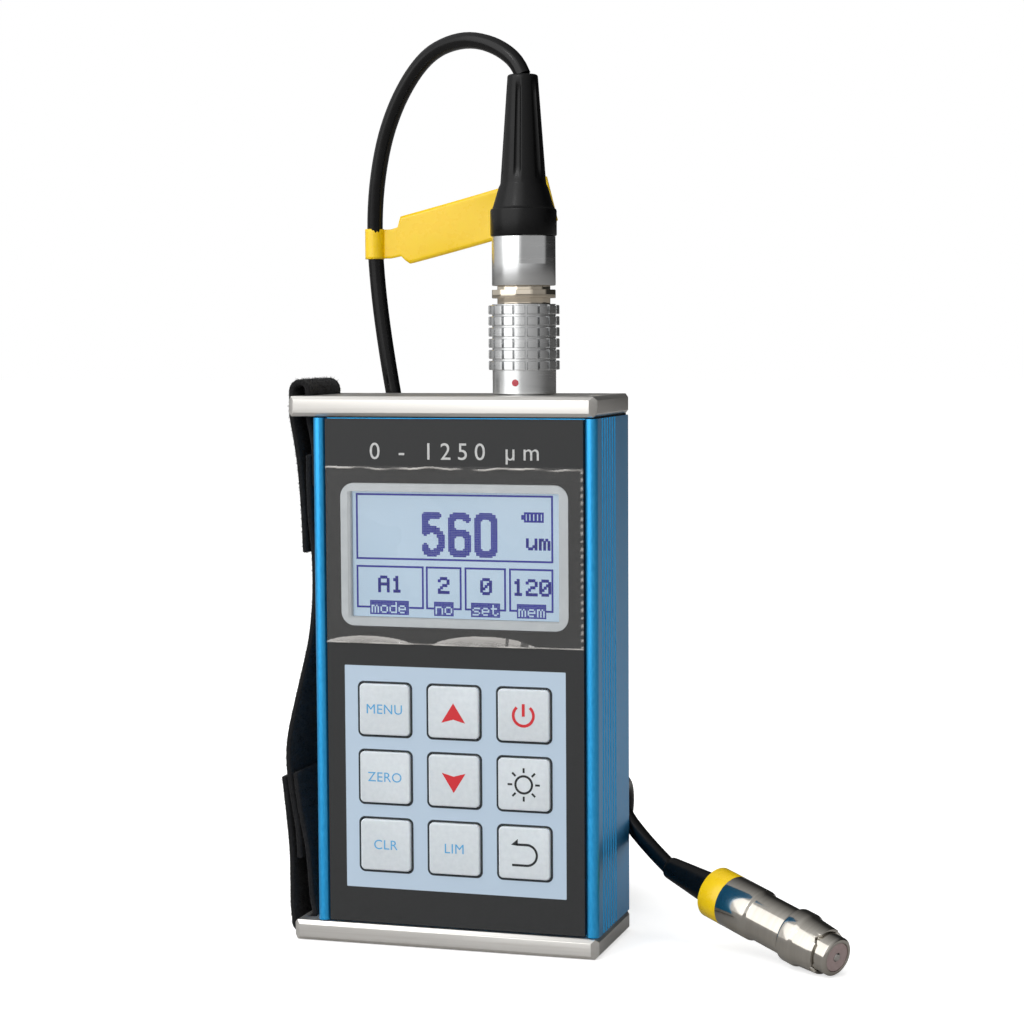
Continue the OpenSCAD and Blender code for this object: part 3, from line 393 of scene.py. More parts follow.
def finer(rows):
    """Pattern at twice the dots, in which a corner takes the mark of two like neighbours."""
    def cell(r, c):
        return rows[r][c] if 0 <= r < len(rows) and 0 <= c < len(rows[0]) else "."

    def corner(r, c, down, right):
        beside, above = cell(r, c + right), cell(r + down, c)
        cut = beside == above and beside != cell(r, c - right) and above != cell(r - down, c)
        return beside if cut else rows[r][c]

    return ["".join(corner(r, c, down, right) for c in range(len(rows[0])) for right in (-1, 1))
            for r in range(len(rows)) for down in (-1, 1)]


def dots(rows, left, top, size, lit="X", fill=0.94):
    """Square dots of a pattern, which fill a share of their pitch."""
    full = size * fill
    places = [(c, r) for r, row in enumerate(rows) for c, mark in enumerate(row) if mark == lit]
    return [box_outline(left + c * size, top - r * size - full, left + c * size + full, top - r * size)
            for c, r in places]


def line_box(x0, z0, x1, z1, width=LINE_W):
    """Four thin bars along the edges of a rectangle."""
    return [box_outline(x0, z1 - width, x1, z1), box_outline(x0, z0, x1, z0 + width),
            box_outline(x0, z0 + width, x0 + width, z1 - width),
            box_outline(x1 - width, z0 + width, x1, z1 - width)]


def label_bar(words, x0, x1, top):
    """Dark bar with a word left out of it."""
    columns = round((x1 - x0) / LABEL_DOT)
    rows = dot_rows(words, SMALL_GLYPHS)
    spare = columns - len(rows[0])
    before = "." * (spare // 2)
    after = "." * (spare - spare // 2)
    empty = "." * columns
    padded_rows = [empty, *[before + row + after for row in rows], empty]
    return dots(padded_rows, x0, top, LABEL_DOT, lit=".")


lcd_marks = line_box(-22.85, 84.5, 21.75, 98.9)
lcd_marks += dots(finer(dot_rows("560", BIG_DIGITS)), -7.7, 95, BIG_DOT / 2)
lcd_marks += dots(dot_rows("um", SMALL_GLYPHS), 15.7, 90.7, 0.48, fill=STROKE)
lcd_marks += line_box(15.3, 93.1, 19.7, 95.3) + [box_outline(14.7, 93.7, 15.3, 94.7)]
lcd_marks += [box_outline(15.9 + 0.85 * k, 93.5, 16.5 + 0.85 * k, 94.9) for k in range(4)]
# Each lower box: its left and right edge, its value with the value's left edge, and its label
LOWER_BOXES = [(-22.85, -7.4, "A1", -17.9, "mode", -19.8, -10.8), (-6.9, 1.2, "2", -4.2, "no", -5.1, -0.6),
               (1.9, 11.2, "0", 5.4, "set", 3.3, 9.7), (11.9, 21.75, "120", 12.6, "mem", 13.6, 20)]
BOX_LOW, BOX_TOP = 73.9, 83.2
for left, right, value, value_left, label, bar_left, bar_right in LOWER_BOXES:
    box_bars = line_box(left, BOX_LOW, right, BOX_TOP)
    lcd_marks += box_bars[:1] + box_bars[2:]
    lcd_marks += [box_outline(left, BOX_LOW, bar_left, BOX_LOW + LINE_W),
                  box_outline(bar_right, BOX_LOW, right, BOX_LOW + LINE_W)]
    lcd_marks += dots(dot_rows(value, SMALL_GLYPHS), value_left, 81, TEXT_DOT, fill=STROKE)
    lcd_marks += label_bar(label, bar_left, bar_right, 75.6)
lcd_ink = finish("lcd_dots", LCD_INK, "272da8", (300, 300, 300), (0.5, 0.6), 0.0, Emission_Strength=0.12)
lcd_ink.node_tree.nodes["Principled BSDF"].inputs["Emission Color"].default_value = paint(LCD_INK)
thick_print("display_dots", lcd_marks, lcd_front, lcd_ink, "gauge")

# Protective film
# The clear film that the maker leaves over the display. It is stuck down in the middle, and its top
# and bottom edges have lifted in shallow waves. Its faint pale veil is painted sheen, and the white
# glints along the lifted edges are painted highlights, both made in the film's colour and opacity.
FILM_COLUMNS = 170
FILM_LIFT = 0.42
# Opacity of the film's painted pale veil, and of its painted white glints
FILM_CLEAR, FILM_PAINTED_GLINT = 0.022, 0.95
LOW_BAND, TOP_BAND = 0.08, 0.96
LOW_ROWS, MIDDLE_ROWS, TOP_ROWS = 26, 90, 16
# Each lifted arch along the bottom edge: its middle and half its span across, and its height
FILM_ARCHES = ((0.165, 0.17, 0.042), (0.62, 0.2, 0.058))
# Spans across where the arches' painted glint is dimmed to a tenth
FILM_CREASES = ((0.7, 0.712), (0.762, 0.79))
film_low, film_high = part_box("screen_film")


def film_state(u, v):
    """Lift of the film and its painted white glint, from the shares across and up."""
    lift, painted_glint = 0.0, 0.0
    for middle, half, height in FILM_ARCHES:
        arch = 1 - ((u - middle) / half) ** 2
        rise = height * arch ** 0.7 if arch > 0 else 0.0
        if v < rise:
            lift = 1 - v / rise
            painted_glint = 0.5 - 0.25 * lift
    if any(start < u < end for start, end in FILM_CREASES):
        painted_glint *= 0.1
    if v < 0.007:
        painted_glint = max(painted_glint, 0.4 + 0.3 * math.sin(37 * u) * math.sin(11 * u))
    top_line = 0.987 + 0.004 * math.sin(19 * u) + 0.003 * math.sin(47 * u + 1)
    if abs(v - top_line) < 0.005:
        painted_glint = max(0.0, 0.45 + 0.5 * math.sin(13 * u + 0.5) * math.sin(31 * u))
        lift = painted_glint * 0.5
    if u > 0.99 and math.sin(150 * v) > 0.3:
        painted_glint = max(painted_glint, 0.4)
    return lift, painted_glint


film_mesh = bpy.data.meshes.new("screen_film_dressed")
film_rows = [LOW_BAND * k / LOW_ROWS for k in range(LOW_ROWS)]
film_rows += [LOW_BAND + (TOP_BAND - LOW_BAND) * k / MIDDLE_ROWS for k in range(MIDDLE_ROWS)]
film_rows += [TOP_BAND + (1 - TOP_BAND) * k / TOP_ROWS for k in range(TOP_ROWS + 1)]
film_points, film_painted_glint = [], []
film_w = film_high[0] - film_low[0]
film_h = film_high[2] - film_low[2]
for v in film_rows:
    for i in range(FILM_COLUMNS + 1):
        u = i / FILM_COLUMNS
        lift, painted_glint = film_state(u, v)
        depth = overlay_front - (0.02 + FILM_LIFT * lift) * MM
        film_points.append((film_low[0] + u * film_w, depth, film_low[2] + v * film_h))
        film_painted_glint.append(painted_glint)
film_faces = [
    (a, a + 1, a + FILM_COLUMNS + 2, a + FILM_COLUMNS + 1)
    for a in (j * (FILM_COLUMNS + 1) + i for j in range(len(film_rows) - 1) for i in range(FILM_COLUMNS))]
film_mesh.from_pydata(film_points, [], film_faces)
film_mesh.polygons.foreach_set("use_smooth", [True] * len(film_mesh.polygons))
# Strength of the painted white glints at each point, which the material turns into opacity
film_mesh.attributes.new("painted_glint", "FLOAT", "POINT").data.foreach_set("value", film_painted_glint)
film_finish = finish(
    "clear_film", "c3c0bb", "dddad6", (300, 300, 2000), (0.14, 0.24), 0.03, patch=120, Coat_Weight=0.3,
    Coat_Roughness=0.05)
film_tree = film_finish.node_tree
film_glint_node = put(film_tree, "Attribute", attribute_name="painted_glint")
film_alpha = put(film_tree, "MapRange", {
    "Value": film_glint_node.outputs["Fac"], "To Min": FILM_CLEAR, "To Max": FILM_PAINTED_GLINT})
film_tree.links.new(film_alpha.outputs[0], film_tree.nodes["Principled BSDF"].inputs["Alpha"])
film = add_object("screen_film_dressed", film_mesh, film_finish, "gauge")
film_thick = film.modifiers.new("film_thickness", "SOLIDIFY")
film_thick.thickness = 0.03 * MM
film_thick.offset = 0.0
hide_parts("screen_film")

# Keys
# Nine pillowed rubber keys stand through the overlay on dome switches, each in its own opening.
# Their symbols are printed: plain words in light blue, arrows and power in red, the rest in black.
KEY_FACE = 0.5 * MM
WORD_HEIGHT = 2.1
ARROW_DROP = 0.25
PRINT_RED = "d3242e"
PRINT_BLUE = "58a9dc"
PRINT_BLACK = "1d2124"


def arc_points(radius, start, end, steps, centre=(0, 0)):
    """Points on an arc in x and z, angles in degrees."""
    angles = [math.radians(start + (end - start) * k / steps) for k in range(steps + 1)]
    return [(centre[0] + radius * math.cos(a), centre[1] + radius * math.sin(a)) for a in angles]


def stroke(points, width):
    """Outlines of a line of even width along open points, one quad for each step."""
    sides = []
    for k, (x, z) in enumerate(points):
        ahead = points[min(k + 1, len(points) - 1)]
        behind = points[max(k - 1, 0)]
        dx, dz = ahead[0] - behind[0], ahead[1] - behind[1]
        size = math.hypot(dx, dz)
        off = (-dz / size * width / 2, dx / size * width / 2)
        sides.append(((x + off[0], z + off[1]), (x - off[0], z - off[1])))
    return [[p[0] for p in sides] + [p[1] for p in reversed(sides)]]


def arrow_head(up):
    """Notched arrowhead that points up, or down with up = -1."""
    corners = [(0, 2.3), (2.7, -2.0), (0, -1.25), (-2.7, -2.0)]
    return [[(x, z * up - ARROW_DROP) for x, z in corners]]


power_mark = stroke(arc_points(2.25, 130, 410, 28), 0.62) + [box_outline(-0.33, -0.2, 0.33, 2.5)]
sun_ring = arc_points(1.85, 0, 356, 44)
sun_mark = stroke(sun_ring + sun_ring[:2], 0.48)
for ray in range(8):
    turn = math.radians(45 * ray)
    sun_mark += stroke([(r * math.cos(turn), r * math.sin(turn)) for r in (2.55, 3.6)], 0.44)
return_bend = arc_points(2.25, 90, -90, 16, (0.6, -0.35))
return_mark = stroke([(-1.8, 1.9), (0.6, 1.9), *return_bend, (-2.7, -2.6)], 0.5)
return_mark += [[(-2.9, 1.8), (-1.4, 3.1), (-1.4, 1.6)]]

key_finish = finish(
    "key_rubber", "d3d9de", "e3e8ec", (900, 900, 900), (0.34, 0.46), 0.05, patch=60, Subsurface_Weight=0.05)
inks = {code: finish("ink_" + name, code, code, (800, 800, 800), (0.4, 0.5), 0.0)
        for name, code in (("red", PRINT_RED), ("blue", PRINT_BLUE), ("black", PRINT_BLACK))}
# Each key: its column and row from the lower left, and its word or its mark with the ink
KEYS = {
    "menu": (0, 2, "MENU", PRINT_BLUE), "up": (1, 2, arrow_head(1), PRINT_RED),
    "power": (2, 2, power_mark, PRINT_RED), "zero": (0, 1, "ZERO", PRINT_BLUE),
    "down": (1, 1, arrow_head(-1), PRINT_RED), "light": (2, 1, sun_mark, PRINT_BLACK),
    "clear": (0, 0, "CLR", PRINT_BLUE), "limit": (1, 0, "LIM", PRINT_BLUE),
    "return": (2, 0, return_mark, PRINT_BLACK)}
for key, (column, row, mark, ink) in KEYS.items():
    key_body = key + "_key"
    rounded("key_" + key, key_finish, key_body, KEY_FACE, 4)
    face_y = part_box("key_" + key)[0][1]
    x, z = KEY_COLUMNS[column], KEY_ROWS[row]
    if isinstance(mark, str):
        lettering(key + "_print", mark, x, z, WORD_HEIGHT, face_y, inks[ink], key_body, 1.05)
    else:
        moved = [[(x + px, z + pz) for px, pz in part] for part in mark]
        thick_print(key + "_print", moved, face_y, inks[ink], key_body)

# Board, battery and socket
# Inside, a green board on brass posts carries the dome switches, chips and buzzer. A holder with two
# cells is screwed to its back, and the probe socket hangs from the top plate by its nut.
dress(finish("switch_brass", "b08d45", "d2b56c", (900, 900, 900), (0.25, 0.4), Metallic=1.0), "key_switches")
dress(finish("board_green", "0f3d22", "1a5a33", (500, 500, 500), (0.35, 0.5), 0.2), "main_board")
dress(finish("post_brass", "a8945c", "c9b983", (300, 300, 2600), (0.25, 0.4), Metallic=1.0), "board_posts")
dress(finish("chip_black", "141416", "202023", (1500, 1500, 1500), (0.45, 0.6)), "board_chips", "buzzer")
dress(finish("holder_black", "18181a", "242427", (700, 700, 700), (0.5, 0.65)), "battery_holder")
dress(finish("cell_wrap", "2c5f3d", "3f7a52", (300, 300, 40), (0.25, 0.35)), "battery_cells")
dress(finish("contact_nickel", "9fa1a3", "c4c6c8", (900, 900, 900), (0.25, 0.4), Metallic=1.0),
      "battery_contacts")
dress(finish("insulator_beige", "b9ab80", "d3c79f", (800, 800, 800), (0.5, 0.6)),
      "socket_insert", "plug_insert")

# Plug
# The probe's push-pull plug is turned brass, plated satin nickel. A knurled release sleeve slides on
# its body, a faceted polished ring follows, and a collet nut with two flats grips the lead.
PLUG_X = 12.1
KNURL_LOW, KNURL_TOP = 125.2, 139.6
KNURL_ROWS, KNURL_BLOCKS = 6, 18
COLLAR_R, KNURL_R = 6.9, 7.7
ROW_GAP, BLOCK_EASE = 0.45, 0.13
SLEEVE_LOW, SLEEVE_BORE = 120.2, 5.46
CUP_LOW, CUP_R = 138, 6.2
THREAD_BORE = 4.65
NECK_LOW, NECK_R = 139.5, 5.9
RING_LOW, RING_TOP, RING_R = 140.9, 142.7, 7.1
COLLET_LOW, COLLET_TOP, COLLET_FLOOR = 143.6, 154.2, 152.2
LEAD_BORE = 1.9
RING_SIDES = 12
FLAT_TURN, FLAT_REACH, FLAT_LOW = math.radians(125), 6.3, 148.2
plug_axis = Matrix.Translation((PLUG_X * MM, 0, 0))
satin = finish(
    "satin_nickel", "d2d3d4", "dfe0e0", (30, 30, 900), (0.24, 0.28), 0.01, patch=60, Metallic=1.0)
polished = finish("polished_nickel", "dccfba", "ece2d2", (30, 30, 900), (0.05, 0.08), 0.0, Metallic=1.0)


def eased(loop, size):
    """Closed profile of radius and height with each corner cut to a small round."""
    soft = []
    for k, spot in enumerate(loop):
        here, before, after = (Vector(v) for v in (spot, loop[k - 1], loop[(k + 1) % len(loop)]))
        back, ahead = before - here, after - here
        cut = min(size, back.length * 0.4, ahead.length * 0.4)
        start, end = here + back.normalized() * cut, here + ahead.normalized() * cut
        if back.angle(ahead) > math.radians(176) or spot[0] == 0:
            soft.append(tuple(spot))
        else:
            soft += [tuple(start), tuple((start + end) / 4 + here / 2), tuple(end)]
    return soft


def turned(name, loop, mat, place, body, replaced, warp=None, segments=96):
    """Turned piece from a closed profile in millimetres, which warp may shape further by angle."""
    bm = bmesh.new()
    rings = []
    for radius, height in loop:
        ring = []
        for k in range(segments):
            angle = 2 * math.pi * k / segments
            r, z = warp(angle, radius, height) if warp else (radius, height)
            ring.append(bm.verts.new(place @ (Vector((r * math.cos(angle), r * math.sin(angle), z)) * MM)))
        rings.append(ring)
    for index, ring in enumerate(rings):
        above = rings[(index + 1) % len(rings)]
        for k in range(segments):
            after = (k + 1) % segments
            bm.faces.new((ring[k], ring[after], above[after], above[k])).smooth = True
    bmesh.ops.remove_doubles(bm, verts=bm.verts, dist=1e-7)
    bmesh.ops.dissolve_degenerate(bm, edges=bm.edges, dist=1e-8)
    bmesh.ops.recalc_face_normals(bm, faces=bm.faces)
    mesh = bpy.data.meshes.new(name)
    bm.to_mesh(mesh)
    bm.free()
    mesh.set_sharp_from_angle(angle=math.radians(38))
    piece = add_object(name, mesh, mat, body)
    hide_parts(replaced)
    return piece


def knurl_blocks(angle, radius, height):
    """Cuts the upright grooves between the grip's blocks."""
    pitch = 360 / KNURL_BLOCKS
    off_centre = abs(math.degrees(angle) % pitch - pitch / 2)
    full = min(max((off_centre - 1.25) / 1.25, 0.0), 1.0)
    return (COLLAR_R + (radius - COLLAR_R) * full if radius > COLLAR_R else radius), height


def ring_facets(angle, radius, height):
    """Makes the ring's outside a prism with flat facets."""
    step = 2 * math.pi / RING_SIDES
    facet = math.cos(step / 2) / math.cos(angle % step - step / 2)
    return (radius * facet if radius > 5 else radius), height


def wrench_flats(angle, radius, height):
    """Cuts two flats into the upper part of the collet nut."""
    facing = abs(math.cos(angle - FLAT_TURN))
    if height < FLAT_LOW or radius < 5 or facing < 0.5:
        return radius, height
    return min(radius, FLAT_REACH / facing), height


sleeve_loop = [(SLEEVE_BORE, SLEEVE_LOW), (COLLAR_R - 0.15, SLEEVE_LOW), (COLLAR_R, SLEEVE_LOW + 0.15)]
row_pitch = (KNURL_TOP - KNURL_LOW) / KNURL_ROWS
for knurl_row in range(KNURL_ROWS):
    row_low = KNURL_LOW + knurl_row * row_pitch + ROW_GAP / 2
    row_high = row_low + row_pitch - ROW_GAP
    sleeve_loop += [(COLLAR_R, row_low), (KNURL_R - BLOCK_EASE, row_low), (KNURL_R, row_low + BLOCK_EASE),
                    (KNURL_R, row_high - BLOCK_EASE), (KNURL_R - BLOCK_EASE, row_high), (COLLAR_R, row_high)]
sleeve_loop += [(COLLAR_R, KNURL_TOP), (CUP_R, KNURL_TOP), (CUP_R, CUP_LOW), (SLEEVE_BORE, CUP_LOW)]
turned("plug_sleeve_dressed", sleeve_loop, satin, plug_axis, "release_sleeve", "plug_sleeve",
       knurl_blocks, KNURL_BLOCKS * 16)
ring_loop = [(THREAD_BORE, NECK_LOW), (NECK_R, NECK_LOW), (NECK_R, RING_LOW), (RING_R, RING_LOW),
             (RING_R, RING_TOP), (NECK_R, RING_TOP), (NECK_R, COLLET_LOW), (THREAD_BORE, COLLET_LOW)]
turned("plug_ring_dressed", eased(ring_loop, 0.12), polished, plug_axis, "gauge", "plug_ring",
       ring_facets)
collet_loop = [(THREAD_BORE, COLLET_LOW), (COLLAR_R, COLLET_LOW), (COLLAR_R, FLAT_LOW - 0.01),
               (COLLAR_R, FLAT_LOW + 0.01), (COLLAR_R, COLLET_TOP), (LEAD_BORE, COLLET_TOP),
               (LEAD_BORE, COLLET_FLOOR), (THREAD_BORE, COLLET_FLOOR)]
turned("collet_nut_dressed", eased(collet_loop, 0.18), satin, plug_axis, "gauge", "collet_nut",
       wrench_flats, 144)
dress(satin, "socket_shell", "socket_nut", "plug_body")
dress(finish("dot_red", "9c0f25", "c21a34", (900, 900, 900), (0.2, 0.3), Coat_Weight=0.6), "plug_dot")

# Strain-relief boots
# Two soft black rubber boots, moulded onto the lead. The plug's has a plain collar, a cone and a long
# fluted tail; the probe's is a short plain taper.
FLUTES = 6
FLUTE_DEPTH = 0.55
FLUTE_SHARE = 0.34
boot_rubber = finish("boot_rubber", "050506", "0a0a0b", (700, 700, 700), (0.26, 0.36), 0.05, patch=40,
    Specular_IOR_Level=0.25)
BOOT_LOW, COLLAR_TOP, TAIL_LOW, TAIL_TOP = COLLET_TOP, 160.2, 165.6, 188.8
TAIL_STEPS = 30


def boot_flutes(angle, radius, height):
    """Sinks the tail's flutes, which run out at both ends."""
    share = (height - TAIL_LOW - 0.8) / (TAIL_TOP - TAIL_LOW - 2.2)
    across = (angle * FLUTES / (2 * math.pi)) % 1
    near = abs(across - 0.5) / (FLUTE_SHARE / 2)
    if radius <= LEAD_BORE or not 0 <= share <= 1 or near >= 1:
        return radius, height
    ends = min(1.0, 9 * share, 9 * (1 - share))
    return radius - FLUTE_DEPTH * ends * (1 - near ** 4), height


plug_boot_outer = [(6.75, BOOT_LOW), (7.1, BOOT_LOW + 0.12), (7.2, BOOT_LOW + 0.4),
                   (7.2, COLLAR_TOP - 0.6), (7.08, COLLAR_TOP - 0.2), (6.75, COLLAR_TOP),
                   (6.55, COLLAR_TOP + 0.5), (5.35, TAIL_LOW - 0.9), (5.05, TAIL_LOW - 0.3)]
plug_boot_outer += [
    (4.95 - 1.65 * k / TAIL_STEPS, TAIL_LOW + (TAIL_TOP - TAIL_LOW - 0.4) * k / TAIL_STEPS)
    for k in range(TAIL_STEPS + 1)]
plug_boot_outer += [(3.15, TAIL_TOP - 0.12), (2.9, TAIL_TOP), (LEAD_BORE, TAIL_TOP), (LEAD_BORE, BOOT_LOW)]
turned("plug_boot_dressed", plug_boot_outer, boot_rubber, plug_axis, "gauge", "plug_boot",
       boot_flutes, 144)

PROBE_TURN = (0, math.radians(102.5), math.radians(-32))
probe_axis = Matrix.Translation(Vector((83.1, -14, 4.2)) * MM) @ Euler(PROBE_TURN).to_matrix().to_4x4()
PROBE_END = -35.6
probe_boot_outer = [(2.15, PROBE_END - 14.5), (2.4, PROBE_END - 14.2), (2.5, PROBE_END - 13.4),
                    (3, PROBE_END - 7.4), (3.4, PROBE_END - 2.6), (3.62, PROBE_END - 1.2),
                    (3.7, PROBE_END - 0.6), (3.7, PROBE_END), (LEAD_BORE, PROBE_END),
                    (LEAD_BORE, PROBE_END - 14.5)]
turned("probe_boot_dressed", probe_boot_outer, boot_rubber, probe_axis, "gauge", "probe_boot")

# Lead
# About 1.1 m of round black cable with a satin sheath. It arches from the plug's boot over the top,
# drops behind the case into a tied coil, and comes out of the coil to the probe.
LEAD_D = 3.6
COIL_X, COIL_Y = 2, 39.6
INNER_R, OUTER_R = 17.2, 20.8
COIL_TOP, COIL_LOW = 13.4, 2.6
COLUMN_TURNS = 3
TURN_POINTS = 24
UPPER_ROUTE = [
    (PLUG_X, 0, TAIL_TOP), (11, 0.3, 191.3), (8.6, 0.9, 193.6), (4.6, 2.2, 195.9), (-1.4, 4.8, 197.6),
    (-7.6, 7.6, 197), (-12.4, 9.8, 195.2), (-16.4, 11.4, 191.8), (-20, 12.8, 187.2), (-22.8, 14, 182.4),
    (-25.6, 15.4, 176),
    (-28, 17, 166), (-28.9, 18.3, 156), (-28.6, 19, 145.8), (-27.5, 19.5, 134.4), (-25.4, 20, 120.2),
    (-23.6, 20.6, 110), (-21.8, 21.2, 100), (-20.4, 21.8, 90), (-19.2, 22.4, 80), (-18.2, 23, 70),
    (-17.4, 23.6, 60), (-16.8, 24.3, 50), (-16.2, 25, 40), (-15.8, 26.2, 31), (-15.4, 28.6, 23.4),
    (-15.2, 33, 17.4), (-15.2, 39.6, 13.4)]
LOWER_ROUTE = [
    (22.8, 40, 13.4), (23.2, 36, 14.2), (24.6, 33.4, 17.2), (26, 32.8, 21), (26.7, 32.2, 25), (27, 30, 29.2),
    (27.3, 26, 31.4), (27.6, 21.8, 30.2), (28.5, 18.8, 27.2), (30.6, 17.3, 24.2), (33.8, 16, 21),
    (37.6, 14.1, 17.8), (41.6, 11.9, 15)]


def coil_point(turns):
    """Point of the coil: down the inner column, across below, and up the outer column."""
    rise = COIL_TOP - COIL_LOW
    across = min(max(turns - COLUMN_TURNS, 0.0) * 2, 1.0)
    radius = INNER_R + (OUTER_R - INNER_R) * (3 - 2 * across) * across ** 2
    down = min(turns, COLUMN_TURNS) / COLUMN_TURNS
    up = max(turns - COLUMN_TURNS - 0.5, 0.0) / COLUMN_TURNS
    angle = math.pi - 2 * math.pi * turns
    height = COIL_TOP + rise * (up - down)
    return COIL_X + radius * math.cos(angle), COIL_Y + radius * math.sin(angle), height


coil_steps = round((2 * COLUMN_TURNS + 0.5) * TURN_POINTS)
coil_points = [coil_point(k / TURN_POINTS) for k in range(1, coil_steps)]
lead_points = UPPER_ROUTE + coil_points + LOWER_ROUTE
lead_curve = bpy.data.curves.new("probe_lead", "CURVE")
lead_curve.dimensions = "3D"
lead_curve.bevel_depth = LEAD_D / 2 * MM
lead_curve.bevel_resolution = 5
lead_curve.resolution_u = 4
lead_curve.use_fill_caps = True
lead_line = lead_curve.splines.new("NURBS")
lead_line.points.add(len(lead_points) - 1)
for spot, place in zip(lead_line.points, lead_points):
    spot.co = (*[value * MM for value in place], 1)
lead_line.order_u = 4
lead_line.use_endpoint_u = True
lead_line.use_smooth = True
sheath = finish(
    "lead_sheath", "040405", "09090a", (900, 900, 900), (0.2, 0.28), 0.04, patch=60,
    Specular_IOR_Level=0.3)
lead = add_object("probe_lead", lead_curve, sheath, "gauge")
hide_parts("cable_upper", "cable_coil", "cable_lower")

# Coil tie
# A short hook-and-loop strap, closed round the back of the coil.
webbing = finish(
    "black_webbing", "0e0e0f", "1c1c1e", (2400, 2400, 2400), (0.75, 0.95), 0.8, 0.15, patch=90,
    Sheen_Weight=0.08, Sheen_Roughness=0.6, Specular_IOR_Level=0.2)
coil_tie = rounded("coil_tie", webbing, "gauge", 0.32 * MM, 3)

# Flag label
# A yellow vinyl label wrapped once round the lead and stuck to itself as a long flag. It bows a
# little along its length.
FLAG_SPOT = Vector((-28.9, 18.5, 153.8))
FLAG_SLANT = math.radians(14.3)
WRAP_R = 1.9
FLAG_T = 0.3
FLAG_COLUMNS = 60
FLAG_ROWS = 12
NECK_END = 6
FLAG_END = 42.4


def flag_half(along):
    """Half the label's height at a distance from the lead."""
    neck, full = 3.4, 5.5
    step = min(max((along - NECK_END) / 1.1, 0.0), 1.0)
    corner = max(0.0, along - FLAG_END + 1.2)
    return neck + (full - neck) * step - corner ** 2 * 0.35


flag_points = []
for i in range(FLAG_COLUMNS + 1):
    along = WRAP_R + (FLAG_END - WRAP_R) * i / FLAG_COLUMNS
    past = max(0.0, along - NECK_END + 2)
    slant = math.sin(FLAG_SLANT) * past
    bow = 0.75 * math.sin(past * 0.085) - 0.012 * past
    for j in range(FLAG_ROWS + 1):
        height = flag_half(along) * (2 * j / FLAG_ROWS - 1)
        curl = 0.25 * (height / 5.5) ** 2 * math.sin(past * 0.16)
        lean = height * math.sin(FLAG_SLANT) * min(1.0, past / 4)
        spot = FLAG_SPOT + Vector((along - lean, bow + curl, slant + height * math.cos(FLAG_SLANT)))
        flag_points.append(spot * MM)
flag_faces = [
    (a, a + 1, a + FLAG_ROWS + 2, a + FLAG_ROWS + 1)
    for a in (i * (FLAG_ROWS + 1) + j for i in range(FLAG_COLUMNS) for j in range(FLAG_ROWS))]
WRAP_SIDES = 40
wrap_start = len(flag_points)
for j in range(FLAG_ROWS + 1):
    for k in range(WRAP_SIDES):
        turn = 2 * math.pi * k / WRAP_SIDES
        height = 3.4 * (2 * j / FLAG_ROWS - 1)
        ring = Vector(((WRAP_R + 0.15) * math.cos(turn), (WRAP_R + 0.15) * math.sin(turn), height))
        flag_points.append((FLAG_SPOT + ring) * MM)
for j in range(FLAG_ROWS):
    for k in range(WRAP_SIDES):
        low = wrap_start + j * WRAP_SIDES
        after = (k + 1) % WRAP_SIDES
        flag_faces.append((low + k, low + after, low + WRAP_SIDES + after, low + WRAP_SIDES + k))
flag_mesh = bpy.data.meshes.new("cable_flag_dressed")
flag_mesh.from_pydata(flag_points, [], flag_faces)
flag_mesh.polygons.foreach_set("use_smooth", [True] * len(flag_mesh.polygons))
label_yellow = finish(
    "label_vinyl", "ffd000", "ffd800", (400, 400, 400), (0.26, 0.3), 0.0, patch=30, Coat_Weight=0.2,
    Coat_Roughness=0.12)
flag = add_object("cable_flag_dressed", flag_mesh, label_yellow, "gauge")
flag_thick = flag.modifiers.new("label_thickness", "SOLIDIFY")
flag_thick.thickness = FLAG_T * MM
flag_thick.offset = 0.0
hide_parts("cable_flag")

# Probe
# The pen-like probe is turned stainless steel, polished: a housing with a waist, a screwed front cap
# with notches in its rim, and a sprung nose whose potted face holds a hard steel tip.
CAP_RIM = -3
NOTCH_DEPTH, NOTCHES = 1.2, 4
probe_steel = finish(
    "probe_steel", "b9b4ab", "cbc7bf", (30, 30, 1500), (0.1, 0.14), 0.01, turn=PROBE_TURN, patch=60,
    Metallic=1.0)


def rim_notches(angle, radius, height):
    """Sinks four notches into the cap's rim."""
    pitch = 2 * math.pi / NOTCHES
    aside = abs((angle - math.pi / 4 + pitch / 2) % pitch - pitch / 2) * radius
    near_rim = max(0.0, 1 - (CAP_RIM - height) / 0.4)
    return radius, height - max(0.0, NOTCH_DEPTH - aside) * near_rim


housing_loop = [(1.9, PROBE_END), (5.45, PROBE_END), (5.45, -30.4), (5.7, -30.4), (5.7, -22.4), (5.2, -21.8),
                (5.2, -12.4), (5.1, -12.4), (5.1, -9.4), (4.68, -9.4), (4.68, -27.1), (1.9, -27.1)]
cap_loop = [(5.15, -12.3), (5.6, -12.3), (5.9, -11.9), (5.9, -9.1), (5.45, -8.2), (5.13, -4.5), (5, CAP_RIM),
            (4.33, CAP_RIM), (4.33, -9.3), (5.15, -9.3)]
nose_loop = [(0, -16), (2.2, -16), (2.2, -11), (4.6, -11), (4.6, -9.5), (4.25, -9.5), (4.25, -0.4), (3.85, 0),
             (3.2, 0), (3.2, -8.6), (0, -8.6)]
band_loop = [(5.45, PROBE_END), (5.7, PROBE_END), (5.7, -30.4), (5.45, -30.4)]
turned("probe_housing_dressed", eased(housing_loop, 0.16), probe_steel, probe_axis, "gauge",
       "probe_housing")
turned("probe_cap_dressed", eased(cap_loop, 0.16), probe_steel, probe_axis, "gauge",
       "probe_cap", rim_notches, 192)
turned("probe_nose_dressed", eased(nose_loop, 0.12), probe_steel, probe_axis, "probe_plunger",
       "probe_nose")
turned("probe_band_dressed", eased(band_loop, 0.06), label_yellow, probe_axis, "gauge", "probe_band")
